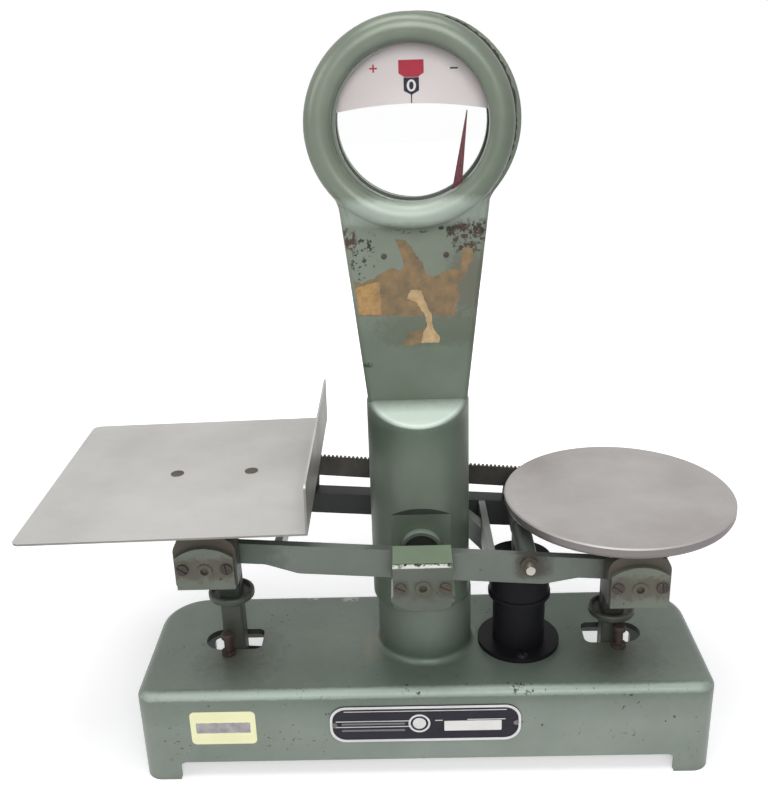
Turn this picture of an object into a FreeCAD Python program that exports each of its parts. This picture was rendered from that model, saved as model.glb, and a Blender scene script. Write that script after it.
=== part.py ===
"""Equal-arm counter scale: cast base and tower, rocking beam, two plates, pointer and oil dashpot.

Frame: millimetres, +Z up, Z = 0 on the table. Y = 0 runs through the two support stems and the front of
the scale faces -Y. The sub-parts are drawn with X = 0 at the centre pivot; write_parts shifts them all so
that X = 0 is midway between the left end of the square plate and the right end of the round pan. The beam
is modelled at rest on its lower stop, with the right-hand plate down.
"""
import FreeCAD
import Part
import math
import os

V = FreeCAD.Vector

# ---------------------------------------------------------------- driving dimensions
# Fits and clearances
running_fit = 0.05        # radial clearance of a pin in its bearing
open_fit = 0.35           # radial clearance where a closed linkage is opened
loose_fit = 0.3           # gap between parts that do not touch
screw_fit = 0.1           # radial clearance of a screw in its hole

# Geometry of the balance
arm = 158.3               # centre pivot to end pivot, along the beam
pivot_z = 190.0           # height of the centre pivot
rest_tilt = 4.2           # degrees, right-hand end down
check_drop = 140.0        # beam pivots to check lever pivots, straight down

# Base casting
base_half_length = 228.0
base_front = -74.0
base_back = 67.5
base_height = 82.5
base_wall = 5.0
base_front_corner = 14.0
base_back_corner = 38.0
base_edge_round = 8.0
base_shell_corner = 6.0
foot_length = 29.5
front_notch_height = 17.0
back_notch_height = 40.5
back_notch_half_length = 191.0
notch_round = 6.0
slot_x = 159.0
slot_length = 48.0
slot_width = 29.0
slot_inner_round = 6.0

# Pillar, part of the base casting
pillar_x = 2.4
pillar_radius = 38.4
pillar_wall = 6.0
pillar_top = 132.0
flange_gap = 0.4          # between the pillar's flare and the dashpot's flange

# Column and tower, two half castings that meet on a seam
column_y = -8.0           # seam plane and column axis
column_radius = 38.7
housing_wall = 4.0
column_floor = 6.0
column_chamfer = 4.0
shoulder_back_z = 305.0
shoulder_front_z = 293.0
shoulder_round = 4.6
recess_depth_from_axis = 31.3
recess_top_z = 218.4
recess_rise = 1.2         # slope of the recess's top, rise over depth
tower_depth = 25.0
tower_foot_z = 285.0
tower_foot_half_width = 35.2
tower_neck_half_width = 54.8
tower_edge_round = 4.0
neck_fillet = 26.0

# Head with its bezel rings
head_z = 503.5
neck_drop = 33.5                # from the head's centre down to where the straight sides end
head_radius = 71.5
head_front_shift = -2.2   # the two halves of the head are out of line, the front one to the left
head_rear_shift = 3.2
window_radius = 52.0
ring_bulge = 8.5
ring_blend = 7.0          # reach of the hollow blend between the ring and the tower's face
glass_radius = 58.0
glass_thickness = 2.4
head_cavity_radius = 65.5
glass_seat_depth = 4.6
retainer_width = 4.0
retainer_thickness = 1.4

# Screws, rivets and openings of the housing
column_bolt_radius = 3.0
column_bolt_y = (-24.0, 10.0)
column_bolt_head_height = 3.0
seam_screw_radius = 2.0
seam_boss_radius = 4.2
seam_low_x = 27.0
seam_low_z = 335.0
seam_high_x = 40.5
seam_high_z = 428.0
chart_boss_radius = 3.4
chart_boss_spread = 38.0
chart_boss_rise = 48.9         # above the middle of the head
chart_screw_length = 5.0
rivet_spread = 22.0
rivet_z = 414.0
rivet_dome_radius = 2.6
rivet_shank_rise = 0.5         # how far the shank reaches into the dome
rivet_dome_cut = 35.0          # degrees of the dome's ball below its visible part
shaft_boss_wall = 3.0
shaft_boss_gap = 12.0          # from the seam to the bosses that hold the pointer shaft
link_opening_half_width = 6.5
link_opening_half_height = 10.0

# Chart and pointer
pointer_pivot_z = 228.0
pointer_ratio = 1.8
chart_edge_rise = 12.8         # lower edge of the chart above the middle of the head
pointer_tip_gap = 2.8          # tip below the chart's lower edge
chart_radius = 65.0
chart_thickness = 1.0
pointer_thickness = 1.2
pointer_half_width = 3.9
pointer_taper_start = 222.0
pointer_hub_radius = 7.0
pointer_hub_thickness = 7.0
pointer_shaft_radius = 3.0
crank_radius = 15.0
link_pin_radius = 2.0
link_eye_radius = 4.5
link_thickness = 2.5
link_setback = 2.0             # link in front of the seam plane
link_half_width = 3.0

# Beam
front_bar_thickness = 7.0
back_bar_thickness = 8.0
front_bar_back = -59.0
bar_top = 11.8
bar_bottom = -11.5
bar_end_bottom = -4.9
bar_end_length = 13.0
bar_taper_start = 92.0
bar_taper_end = 117.0
back_bar_front = 53.0
back_bar_top = -3.9
back_bar_left_bottom = -22.4
back_bar_right_bottom = -27.0
back_bar_step = 15.0
back_flange_depth = 16.0
back_flange_thickness = 6.0
back_boss_half_width = 16.0
back_boss_thickness = 7.0
strut_width = 5.6
strut_depth = 14.0
right_strut_x = (51.6, 54.2)       # at its front and back ends
left_strut_x = (-108.0, -108.0)
cross_boss_radius = 7.5
cross_boss_z = 4.8                 # above the beam's pivot line
cross_boss_gap = 1.0

# Pivots and bearings
centre_pin_radius = 4.0
end_pin_radius = 4.0
bearing_wall = 3.0
bearing_length = 8.0
bar_gap = 2.5

# Supports
support_half_width = 22.8
support_block_depth = 14.9
support_block_bottom = -14.0
support_block_top = 25.0
bridge_top = 29.0
bridge_half_length = 78.0
bridge_thickness = 8.0
bridge_round = 3.0
support_top_round = 12.0
cover_thickness = 4.0
cover_half_width = 21.2
cover_bottom = -15.5
cover_side_top = 10.5
cover_top = 18.3
cover_boss_radius = 5.6        # dimple in the middle of every cover
cover_boss_bore = 3.0
cover_boss_rise = 0.9
cover_boss_depth = 1.6
cover_screw_x = 16.0
cover_screw_z = 1.5
cup_radius = 19.0
cup_top = -69.0
cup_thickness = 6.5
cup_round = 2.0
cup_dish_radius = 16.0
cup_dish_depth = 2.5
collar_radius = 14.0
collar_thickness = 3.0
stem_width = 18.0
stem_tail = 9.0
stem_pin_radius = 3.0

# Centre bracket
bracket_half_width = 21.5
bracket_top = 18.3
bracket_edge_round = 2.8
bracket_screw_x = 16.1
bracket_screw_z = 0.4
bracket_bottom = -19.5
bracket_ear_z = -10.5
bracket_ear = 1.6
bracket_front = -98.0
bracket_arm_half_width = 13.0
bracket_arm_thickness = 8.0
bracket_arm_gap = 3.4          # arm below the level bar
bracket_pad_drop = 12.0
bracket_bolt_x = (-8.0, 8.0)
bracket_screw_reach = 9.0
rear_bracket_half_width = 14.0
rear_bracket_half_height = 12.0
rear_bracket_round = 4.0
rear_bolt_x = (-9.0, 9.0)
rear_bolt_head = 4.5
bracket_pad_thickness = 6.0    # of the feet the fixing screws pass through
hood_radius = 16.3
hood_wall = 2.5
hood_length = 6.7

# Plates
plate_length = 208.5
plate_width = 212.0
plate_thickness = 1.5
plate_right_edge = -79.2
plate_flange_height = 37.0
plate_corner = 6.0
plate_lift = 7.4           # underside of the sheet above the support's bridge
plate_droop = 0.97         # degrees, left edge low
flange_corner = 3.0
flange_lean = 2.0
carrier_half_length = 38.0
carrier_half_width = 46.0
rivet_middle = -162.0
rivet_spread_x = 29.5
plate_rivet_radius = 5.2
pan_radius = 90.0
pan_rim_height = 8.0
pan_plate_thickness = 4.5
pan_rim_width = 5.0
pan_dish = 1.5
locating_pin_radius = 3.0
locating_pin_spread = 40.0

# Dashpot
dashpot_x = 79.8
dashpot_radius = 21.3
dashpot_wall = 2.5
dashpot_height = 76.0
dashpot_flange_radius = 33.5
dashpot_flange_thickness = 4.0
cap_radius = 24.3
cap_bead = 1.0
cap_bead_height = 3.0
cap_skirt = 29.5
cap_thickness = 4.0
cap_hole_radius = 11.0
hanger_width = 13.0
hanger_thickness = 6.0
hanger_eye_radius = 8.2
rod_eye_fit = 0.9          # the rod swings a little sideways in the eye
cross_rod_radius = 3.4
cross_rod_reach = 10.0
cross_nut_radius = 6.4
cross_nut_thickness = 3.0
piston_radius = 18.0
piston_thickness = 5.0
piston_rod_radius = 3.0

# Tare bar and poise
tare_half_length = 94.0
tare_thickness = 4.0
tare_front = 64.0
tare_bottom = 5.5
tare_height = 18.0
tare_pitch = 3.5
tare_tooth = 2.2
tare_leg_length = 8.0
tare_lean = 1.0           # degrees steeper than the beam
tare_hinge_x = 60.0
poise_half_length = 11.0
poise_front_wall = 3.5
poise_back_wall = 7.0
poise_height = 30.0

# Check lever under the base
lever_bar_height = 10.0
lever_bar_thickness = 4.0
lever_gap = 1.0
lever_tie_length = 8.0
lever_tie_x = (35.0, 95.0)
check_pin_radius = 4.0
check_bracket_width = 16.0
check_bracket_half_length = 14.0
check_bracket_drop = 9.0       # below the check lever's pivot
check_pad_half_length = 46.0
check_screw_x = (-41.0, 41.0)

# Small parts
nameplate_length = 151.0
nameplate_height = 34.0
nameplate_thickness = 0.8
nameplate_corner = 13.0
nameplate_z = 52.0
nameplate_pin_spread = 71.5
label_length = 52.0
label_height = 31.0
label_thickness = 0.3
label_inset = 68.0              # label's middle from the base's end
label_z = 50.5
screw_head_radius = 4.2
screw_head_height = 1.8
screw_shank_radius = 2.0
screw_slot = 1.0
dome_head_radius = 5.0
dome_head_height = 3.0
fixing_reach = 3.0         # of a fixing screw into the casting behind
stop_x = 161.0
stop_y = -20.4
stop_shank_radius = 3.2
stop_head_radius = 5.0
stop_head_height = 4.5
stop_nut_radius = 5.8
stop_nut_height = 3.5
stop_gap = 0.3            # between a resting cup and its stop screw

# ---------------------------------------------------------------- worked-out places
bar_front = front_bar_back - front_bar_thickness
block_inner = -bar_front + bar_gap                 # inner face of a support block, from Y = 0
block_outer = block_inner + support_block_depth
cover_outer = block_outer + cover_thickness
back_bar_back = back_bar_front + back_bar_thickness
flat_y = column_y - recess_depth_from_axis
tower_front = column_y - tower_depth / 2
tower_back = column_y + tower_depth / 2
arm_x = arm * math.cos(math.radians(rest_tilt))
arm_z = arm * math.sin(math.radians(rest_tilt))
link_arm_x = crank_radius * pointer_ratio
pointer_tilt = rest_tilt * pointer_ratio
check_z = pivot_z - check_drop
plate_z = pivot_z + arm_z + bridge_top + plate_lift
base_roof = base_height - base_wall
tower_neck_z = head_z - neck_drop
label_x = label_inset - base_half_length
tilt = math.radians(rest_tilt)
dashpot_level_x = (dashpot_x - cross_boss_z * math.sin(tilt)) / math.cos(tilt)
recess_slope = column_radius - recess_depth_from_axis + 1
droop = math.radians(plate_droop)
plate_reach = plate_length - plate_right_edge - arm_x
plate_left = -arm_x - plate_reach * math.cos(droop) - plate_thickness * math.sin(droop)
frame_x = -(plate_left + arm_x + pan_radius) / 2
screw_hole = screw_shank_radius + screw_fit
column_bolt_hole = column_bolt_radius + screw_fit
small_screw_radius = screw_shank_radius * 0.6
small_screw_hole = small_screw_radius + screw_fit
centre_bush_radius = centre_pin_radius + bearing_wall
end_bush_radius = end_pin_radius + bearing_wall
seam_screws = [(side * seam_low_x, seam_low_z) for side in (-1, 1)]
seam_screws += [(side * seam_high_x, seam_high_z) for side in (-1, 1)]
chart_arc_radius = head_z + chart_edge_rise - pointer_pivot_z
pointer_tip_radius = chart_arc_radius - pointer_tip_gap
chart_back = column_y + chart_thickness / 2
chart_boss_z = head_z + chart_boss_rise
bracket_arm_top = bar_bottom - bracket_arm_gap
link_front = column_y - link_setback
parts = {}


# ---------------------------------------------------------------- helpers
def box(x0, x1, y0, y1, z0, z1):
    """Block between two corners."""
    return Part.makeBox(x1 - x0, y1 - y0, z1 - z0, V(x0, y0, z0))


def cyl_y(x, z, radius, y0, y1):
    """Cylinder along Y."""
    return Part.makeCylinder(radius, y1 - y0, V(x, y0, z), V(0, 1, 0))


def cyl_z(x, y, radius, z0, z1):
    """Cylinder along Z."""
    return Part.makeCylinder(radius, z1 - z0, V(x, y, z0), V(0, 0, 1))


def prism_xz(points, y0, y1):
    """Outline in X and Z, drawn out along Y."""
    wire = Part.makePolygon([V(x, y0, z) for x, z in points + points[:1]])
    return Part.Face(wire).extrude(V(0, y1 - y0, 0))


def prism_yz(points, x0, x1):
    """Outline in Y and Z, drawn out along X."""
    wire = Part.makePolygon([V(x0, y, z) for y, z in points + points[:1]])
    return Part.Face(wire).extrude(V(x1 - x0, 0, 0))


def prism_xy(points, z0, z1):
    """Outline in X and Y, drawn out along Z."""
    wire = Part.makePolygon([V(x, y, z0) for x, y in points + points[:1]])
    return Part.Face(wire).extrude(V(0, 0, z1 - z0))


def fuse(first, *others):
    """One solid from several."""
    return first.fuse(list(others)).removeSplitter()


def edges_along(shape, direction, test=None):
    """Straight edges parallel to a direction, filtered by a test on their middle point."""
    found = []
    for edge in shape.Edges:
        if not isinstance(edge.Curve, Part.Line):
            continue
        if abs(abs(edge.Curve.Direction.dot(direction)) - 1) > 1e-6:
            continue
        if test is None or test(edge.CenterOfMass):
            found.append(edge)
    return found


def rounded_box(x0, x1, y0, y1, z0, z1, radius, direction):
    """Block with its four edges along one direction rounded."""
    block = box(x0, x1, y0, y1, z0, z1)
    return block.makeFillet(radius, edges_along(block, direction))


def mirror_y(shape):
    """Copy of a shape on the other side of the plane Y = 0."""
    return shape.mirror(V(0, 0, 0), V(0, 1, 0))


def tilted(shape, angle=rest_tilt, z=pivot_z):
    """Turn a level shape about the Y axis at height z, right-hand end down."""
    turned = shape.copy()
    turned.rotate(V(0, 0, z), V(0, 1, 0), angle)
    return turned


def moved(shape, x, y, z):
    """Copy of a shape, shifted."""
    copy = shape.copy()
    copy.translate(V(x, y, z))
    return copy


def slotted_screw_y(x, z, y_face, length, facing=-1, head=screw_head_radius,
                    shank=screw_shank_radius, turn=0):
    """Cheese-head screw along Y; its head stands on y_face and faces -Y (facing -1) or +Y."""
    top = cyl_y(x, z, head, y_face - screw_head_height, y_face)
    rim = [e for e in top.Edges if e.BoundBox.YMax < y_face - screw_head_height + 1e-6]
    top = top.makeFillet(screw_head_height * 0.35, rim)
    slot = box(x - head, x + head, y_face - screw_head_height - 1, y_face - screw_head_height * 0.45,
               z - screw_slot / 2, z + screw_slot / 2)
    slot.rotate(V(x, 0, z), V(0, 1, 0), turn)
    screw = fuse(top.cut(slot), cyl_y(x, z, shank, y_face - 0.01, y_face + length))
    if facing > 0:
        screw = screw.mirror(V(0, y_face, 0), V(0, 1, 0))
    return screw


def dome_screw_z(x, y, z_face, length):
    """Round-head screw along Z with a slot; its head stands on z_face."""
    ball = (dome_head_radius ** 2 + dome_head_height ** 2) / (2 * dome_head_height)
    sphere = Part.makeSphere(ball, V(x, y, z_face + dome_head_height - ball))
    top = z_face + dome_head_height + 1
    head = sphere.common(box(x - ball, x + ball, y - ball, y + ball, z_face, top))
    slot = box(x - screw_slot / 2, x + screw_slot / 2, y - ball, y + ball,
               z_face + dome_head_height * 0.6, top)
    return fuse(head.cut(slot), cyl_z(x, y, screw_shank_radius, z_face - length, z_face + 0.01))


def slotted_screw_z(x, y, z_face, length, head=screw_head_radius, shank=screw_shank_radius):
    """Cheese-head screw along Z; its head stands on z_face and faces up."""
    screw = slotted_screw_y(0, 0, 0, length, head=head, shank=shank)
    screw.rotate(V(0, 0, 0), V(1, 0, 0), -90)
    return moved(screw, x, y, z_face)


def save(name, *solids):
    """Keep a node; several solids make a group."""
    shape = solids[0] if len(solids) == 1 else Part.makeCompound(list(solids))
    parts[name] = shape


# ---------------------------------------------------------------- base casting
def base_outline(inset):
    """Plan of the base, moved in by a wall, as a face at Z = 0."""
    half = base_half_length - inset
    y0 = base_front + inset
    y1 = base_back - inset
    slab = box(-half, half, y0, y1, 0, 1)
    front = edges_along(slab, V(0, 0, 1), lambda c: c.y < 0)
    slab = slab.makeFillet(base_front_corner - inset, front)
    back = edges_along(slab, V(0, 0, 1), lambda c: c.y > 0 and abs(c.x) > half - 1)
    slab = slab.makeFillet(base_back_corner - inset, back)
    return [f for f in slab.Faces if f.CenterOfMass.z < 1e-6][0]


def stem_slot(side):
    """Cutter for a stem's slot: round at its outer end, small corners at its inner end."""
    middle = side * slot_x
    outer = middle + side * (slot_length / 2 - slot_width / 2)
    inner = middle - side * slot_length / 2
    low, high = sorted((outer, inner))
    z0 = base_roof - 1
    z1 = base_height + 1
    body = box(low, high, -slot_width / 2, slot_width / 2, z0, z1)
    corners = edges_along(body, V(0, 0, 1), lambda c: abs(c.x - inner) < 1e-6)
    body = body.makeFillet(slot_inner_round, corners)
    return fuse(body, cyl_z(outer, 0, slot_width / 2, z0, z1))


def make_base():
    """Shell with skirts, corner feet, stem slots and the hollow pillar."""
    outer = base_outline(0).extrude(V(0, 0, base_height))
    top_edges = [e for e in outer.Edges if abs(e.BoundBox.ZMin - base_height) < 1e-6]
    outer = outer.makeFillet(base_edge_round, top_edges)
    inner = base_outline(base_wall).extrude(V(0, 0, base_roof + 1))
    inner.translate(V(0, 0, -1))
    shell = outer.cut(inner)
    pillar = cyl_z(pillar_x, 0, pillar_radius, base_height - 1, pillar_top)
    shell = fuse(shell, pillar)
    foot_ring = [e for e in shell.Edges if isinstance(e.Curve, Part.Circle)
                 and abs(e.Curve.Radius - pillar_radius) < 1e-6
                 and abs(e.CenterOfMass.z - base_height) < 1e-6]
    flare = dashpot_x - dashpot_flange_radius - pillar_x - pillar_radius - flange_gap
    shell = shell.makeFillet(flare, foot_ring)
    bore = cyl_z(pillar_x, 0, pillar_radius - pillar_wall, base_roof - 1, pillar_top - pillar_wall)
    shell = shell.cut([bore] + [cyl_z(x, 0, screw_hole, base_roof - 1, base_height - 1)
                                for x in check_screw_x])
    notch_half = base_half_length - foot_length
    front = rounded_box(-notch_half, notch_half, base_front - 1, base_front + base_wall + base_front_corner,
                        -notch_round - 1, front_notch_height, notch_round, V(0, 1, 0))
    back = rounded_box(-back_notch_half_length, back_notch_half_length, base_back - base_wall - 4,
                       base_back + 1, -notch_round - 1, back_notch_height, notch_round, V(0, 1, 0))
    shell = shell.cut([front, back, stem_slot(-1), stem_slot(1)])
    holes = [cyl_z(x, y, screw_hole, base_roof - 1, base_height + 1)
             for x, y in dashpot_screw_places()]
    holes += [cyl_z(x, y, stop_shank_radius, base_roof - 1, base_height + 1) for x, y in stop_screw_places()]
    holes += [cyl_z(0, y, column_bolt_hole, pillar_top - pillar_wall - 1, pillar_top + 1)
              for y in column_bolt_y]
    holes += [cyl_y(side * nameplate_pin_spread, nameplate_z, screw_shank_radius * 0.5 + screw_fit,
                    base_front - 1, base_front + base_wall + 1) for side in (-1, 1)]
    save("base_casting", shell.cut(holes))


# ---------------------------------------------------------------- column, tower and head
def half_space(side, y=column_y):
    """Everything in front of (side -1) or behind (side 1) a plane."""
    reach = 200
    low, high = sorted((y, y + side * reach))
    return box(-reach, reach, low, high, 0, 4 * reach)


def tower_body(head_x):
    """Tower with straight sides that run into the round head through neck fillets."""
    sides = prism_xz([(-tower_foot_half_width, tower_foot_z), (tower_foot_half_width, tower_foot_z),
                      (tower_neck_half_width, tower_neck_z), (-tower_neck_half_width, tower_neck_z)],
                     tower_front, tower_back)
    body = fuse(sides, cyl_y(head_x, head_z, head_radius, tower_front, tower_back))
    necks = edges_along(body, V(0, 1, 0), lambda c: tower_foot_z + 20 < c.z < head_z)
    body = body.makeFillet(neck_fillet, necks)
    rims = [e for e in body.Edges if isinstance(e.Curve, Part.Line) and e.BoundBox.YLength < 1e-6
            and tower_foot_z + 5 < e.CenterOfMass.z < head_z]
    return body.makeFillet(tower_edge_round, rims)


def ring(head_x, side):
    """Half-round bezel that stands on the tower's face around the window."""
    face_y = tower_front if side < 0 else tower_back
    middle = (head_radius + window_radius) / 2
    half = (head_radius - window_radius) / 2
    start = V(middle - half, face_y - side, 0)
    end = V(middle + half, face_y - side, 0)
    crown = Part.Ellipse(V(middle, face_y, 0), half, ring_bulge)
    if ring_bulge > half:
        crown = Part.Ellipse(V(middle, face_y + side * ring_bulge, 0), V(middle + half, face_y, 0),
                             V(middle, face_y, 0))
    sweep = (math.pi, 2 * math.pi) if side < 0 else (0, math.pi)
    arc = Part.Edge(Part.ArcOfEllipse(crown, *sweep))
    first, last = arc.Vertexes[0].Point, arc.Vertexes[-1].Point
    left = first if first.x < last.x else last
    right = last if first.x < last.x else first
    wire = Part.Wire(Part.__sortEdges__([arc, Part.makeLine(right, end), Part.makeLine(end, start),
                                         Part.makeLine(start, left)]))
    profile = Part.Face(wire)
    solid = profile.revolve(V(0, 0, 0), V(0, 1, 0), 360)
    return moved(solid, head_x, 0, head_z)


def ring_foot(head_x, side):
    """Hollow blend where the ring meets the tower's face below it."""
    face_y = tower_front if side < 0 else tower_back
    middle = (head_radius + window_radius) / 2
    half = (head_radius - window_radius) / 2
    near = middle + half * 0.76
    height = ring_bulge * 0.6
    start = V(near, face_y + side * height, 0)
    hollow = V(head_radius + ring_blend * 0.18, face_y + side * height * 0.39, 0)
    end = V(head_radius + ring_blend, face_y, 0)
    low = [V(head_radius + ring_blend, face_y - side, 0), V(near, face_y - side, 0)]
    wire = Part.Wire([Part.Arc(start, hollow, end).toShape(), Part.makeLine(end, low[0]),
                      Part.makeLine(low[0], low[1]), Part.makeLine(low[1], start)])
    solid = moved(Part.Face(wire).revolve(V(0, 0, 0), V(0, 1, 0), 360), head_x, 0, head_z)
    low_y, high_y = sorted((face_y - side, face_y + side * ring_bulge))
    foot = tower_foot_half_width - tower_edge_round - 1.5
    neck = tower_neck_half_width - tower_edge_round - 1.5
    face = prism_xz([(-foot, tower_foot_z), (foot, tower_foot_z), (neck, tower_neck_z),
                     (-neck, tower_neck_z)], low_y, high_y)
    return solid.common(face)


def column_body():
    """Round column whose front and back shoulders slope out from the tower's faces."""
    reach = column_radius + 1
    profile = [(column_y - reach, pillar_top), (column_y - reach, shoulder_front_z),
               (tower_front, shoulder_back_z), (tower_back, shoulder_back_z),
               (column_y + reach, shoulder_front_z), (column_y + reach, pillar_top)]
    column = cyl_z(0, column_y, column_radius, pillar_top, shoulder_back_z)
    column = column.common(prism_yz(profile, -reach, reach))
    rims = [e for e in column.Edges if e.CenterOfMass.z > shoulder_front_z - 6
            and not isinstance(e.Curve, Part.Line)]
    column = column.makeFillet(shoulder_round, rims)
    foot = [e for e in column.Edges if abs(e.BoundBox.ZMax - pillar_top) < 1e-6]
    return column.makeChamfer(column_chamfer, foot)


def housing_cavity():
    """Space inside column and tower, shared by both halves."""
    inner = column_radius - housing_wall
    column = cyl_z(0, column_y, inner, pillar_top + column_floor, shoulder_front_z - housing_wall)
    column = column.common(box(-inner, inner, flat_y + housing_wall, column_y + inner, 0, head_z))
    foot = tower_foot_half_width - housing_wall
    neck = tower_neck_half_width - housing_wall
    tower = prism_xz([(-foot, tower_foot_z - 10), (foot, tower_foot_z - 10), (neck, tower_neck_z),
                      (-neck, tower_neck_z)], tower_front + housing_wall, tower_back - housing_wall)
    head = cyl_y(0, head_z, head_cavity_radius, tower_front + housing_wall + glass_seat_depth,
                 tower_back - housing_wall - glass_seat_depth)
    return fuse(column, tower, head)


def make_housing(side):
    """Front (side -1) or rear (side 1) half of the column, tower and head."""
    head_x = head_front_shift if side < 0 else head_rear_shift
    body = fuse(tower_body(head_x), column_body(), ring(head_x, side), ring_foot(head_x, side))
    face_y = tower_front if side < 0 else tower_back
    body = body.common(half_space(side))
    if side < 0:
        slope_y = flat_y - recess_slope
        slope_z = recess_top_z + recess_slope * recess_rise
        recess = prism_yz([(flat_y, pillar_top - 1), (flat_y, recess_top_z), (slope_y, slope_z),
                           (slope_y - 1, slope_z), (slope_y - 1, pillar_top - 1)],
                          -column_radius - 1, column_radius + 1)
        body = body.cut(recess)
        hood_front = flat_y - hood_length
        legs_z = pivot_z - hood_wall * 2
        inner = hood_radius - hood_wall
        hood = cyl_y(0, pivot_z, hood_radius, hood_front, flat_y + 1)
        upper = box(-hood_radius, hood_radius, hood_front, flat_y + 1, pivot_z, pivot_z + hood_radius)
        legs = box(-hood_radius, hood_radius, hood_front, flat_y + 1, legs_z, pivot_z)
        hood = fuse(hood.common(upper), legs)
        bore = fuse(cyl_y(0, pivot_z, inner, hood_front - 1, flat_y),
                    box(-inner, inner, hood_front - 1, flat_y, legs_z - 1, pivot_z))
        body = fuse(body, hood.cut(bore))
    body = body.cut(housing_cavity())
    inner_face = face_y - side * housing_wall
    seat_low, seat_high = sorted((inner_face, inner_face - side * (glass_seat_depth + 1)))
    seat = cyl_y(0, head_z, glass_radius + loose_fit, seat_low, seat_high)
    window = cyl_y(0, head_z, window_radius, face_y - 30, face_y + 30)
    body = body.cut([seat, window])
    bosses = []
    for x, z in seam_screws:
        low, high = sorted((column_y, inner_face + side))
        bosses.append(cyl_y(x, z, seam_boss_radius, low, high))
    shaft_boss = pointer_shaft_radius + shaft_boss_wall
    shaft_span = (column_y + shaft_boss_gap, column_y + column_radius - housing_wall / 2)
    if side < 0:
        shaft_span = (flat_y + 1, column_y - shaft_boss_gap)
    bosses.append(cyl_y(0, pointer_pivot_z, shaft_boss, *shaft_span))
    if side > 0:
        for x in (-chart_boss_spread, chart_boss_spread):
            bosses.append(cyl_y(x, chart_boss_z, chart_boss_radius, chart_back, inner_face + 1))
    body = fuse(body, *bosses)
    cuts = [cyl_y(x, z, seam_screw_radius + screw_fit, tower_front + housing_wall / 2, tower_back + 1)
            for x, z in seam_screws]
    cuts.append(cyl_y(0, pointer_pivot_z, pointer_shaft_radius, *pointer_shaft_span()))
    cuts += [cyl_z(0, y, column_bolt_hole, pillar_top - 1, pillar_top + column_floor + 1)
             for y in column_bolt_y]
    if side < 0:
        cuts += [cyl_y(x, rivet_z, screw_shank_radius, tower_front - 1, tower_front + housing_wall + 1)
                 for x in (-rivet_spread, rivet_spread)]
        cuts += [cyl_y(x, bracket_bolt_z(), screw_hole, flat_y - 1,
                       flat_y + housing_wall + 1) for x in bracket_bolt_x]
    else:
        middle_z = pivot_z - link_drop()
        cuts.append(box(link_arm_x - link_opening_half_width, link_arm_x + link_opening_half_width,
                        column_y + 10, column_y + column_radius + 2,
                        middle_z - link_opening_half_height, middle_z + link_opening_half_height))
        cuts += [cyl_y(x, chart_boss_z, small_screw_hole, chart_back - 1, inner_face)
                 for x in (-chart_boss_spread, chart_boss_spread)]
        cuts += [cyl_y(x, pivot_z, screw_hole, column_y + column_radius / 2, column_y + column_radius + 1)
                 for x in rear_bolt_x]
    save("front_housing" if side < 0 else "rear_housing", body.cut(cuts))


def link_drop():
    """How far the link pin hangs below the centre pivot at rest."""
    return link_arm_x * math.sin(math.radians(rest_tilt))


def pointer_shaft_span():
    """Ends of the pointer shaft along Y."""
    return flat_y + housing_wall / 2, column_y + column_radius - housing_wall


def make_housing_small_parts():
    """Screws, bolts, rivets, glasses, retainers, chart and pointer shaft."""
    save("housing_screws", *[slotted_screw_y(x, z, tower_back, tower_depth - housing_wall, facing=1,
                                             shank=seam_screw_radius, turn=25 * i)
                             for i, (x, z) in enumerate(seam_screws)])
    bolts = []
    for y in column_bolt_y:
        low = pillar_top - pillar_wall
        high = pillar_top + column_floor
        bolt_head = column_bolt_radius * 1.8
        under = low - column_bolt_head_height
        over = high + column_bolt_head_height
        bolts.append(fuse(cyl_z(0, y, column_bolt_radius, under, over), cyl_z(0, y, bolt_head, high, over),
                          cyl_z(0, y, bolt_head, under, low)))
    save("column_bolts", *bolts)
    rivets = []
    for x in (-rivet_spread, rivet_spread):
        ball_y = tower_front + rivet_dome_radius * math.sin(math.radians(rivet_dome_cut))
        dome = Part.makeSphere(rivet_dome_radius, V(x, ball_y, rivet_z), V(0, -1, 0), rivet_dome_cut, 90, 360)
        rivets.append(fuse(cyl_y(x, rivet_z, screw_shank_radius, tower_front - rivet_shank_rise,
                                 tower_front + housing_wall), dome))
    save("tower_rivets", *rivets)
    front_glass = tower_front + housing_wall
    rear_glass = tower_back - housing_wall
    save("front_glass", cyl_y(0, head_z, glass_radius, front_glass, front_glass + glass_thickness))
    save("rear_glass", cyl_y(0, head_z, glass_radius, rear_glass - glass_thickness, rear_glass))
    rings = []
    for y in (front_glass + glass_thickness, rear_glass - glass_thickness - retainer_thickness):
        rim = cyl_y(0, head_z, glass_radius + loose_fit, y, y + retainer_thickness)
        inside = cyl_y(0, head_z, glass_radius - retainer_width, y - 1, y + retainer_thickness + 1)
        rings.append(rim.cut(inside))
    save("glass_retainers", *rings)
    chart = cyl_y(0, head_z, chart_radius, chart_back - chart_thickness, chart_back)
    below = cyl_y(0, pointer_pivot_z, chart_arc_radius, chart_back - chart_thickness - 1, chart_back + 1)
    holes = [cyl_y(x, chart_boss_z, small_screw_hole, chart_back - 5, chart_back + 1)
             for x in (-chart_boss_spread, chart_boss_spread)]
    save("chart_plate", chart.cut([below] + holes))
    save("chart_screws", *[slotted_screw_y(x, chart_boss_z, chart_back - chart_thickness,
                                           chart_screw_length, head=2.6, shank=small_screw_radius)
                           for x in (-chart_boss_spread, chart_boss_spread)])
    save("pointer_shaft", cyl_y(0, pointer_pivot_z, pointer_shaft_radius, *pointer_shaft_span()))


# ---------------------------------------------------------------- centre bearings
def bracket_bolt_z():
    """Height of the bolts that hold the front bracket's arm to the column."""
    return pivot_z + bracket_arm_top - bracket_arm_thickness - bracket_pad_drop / 2


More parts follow.
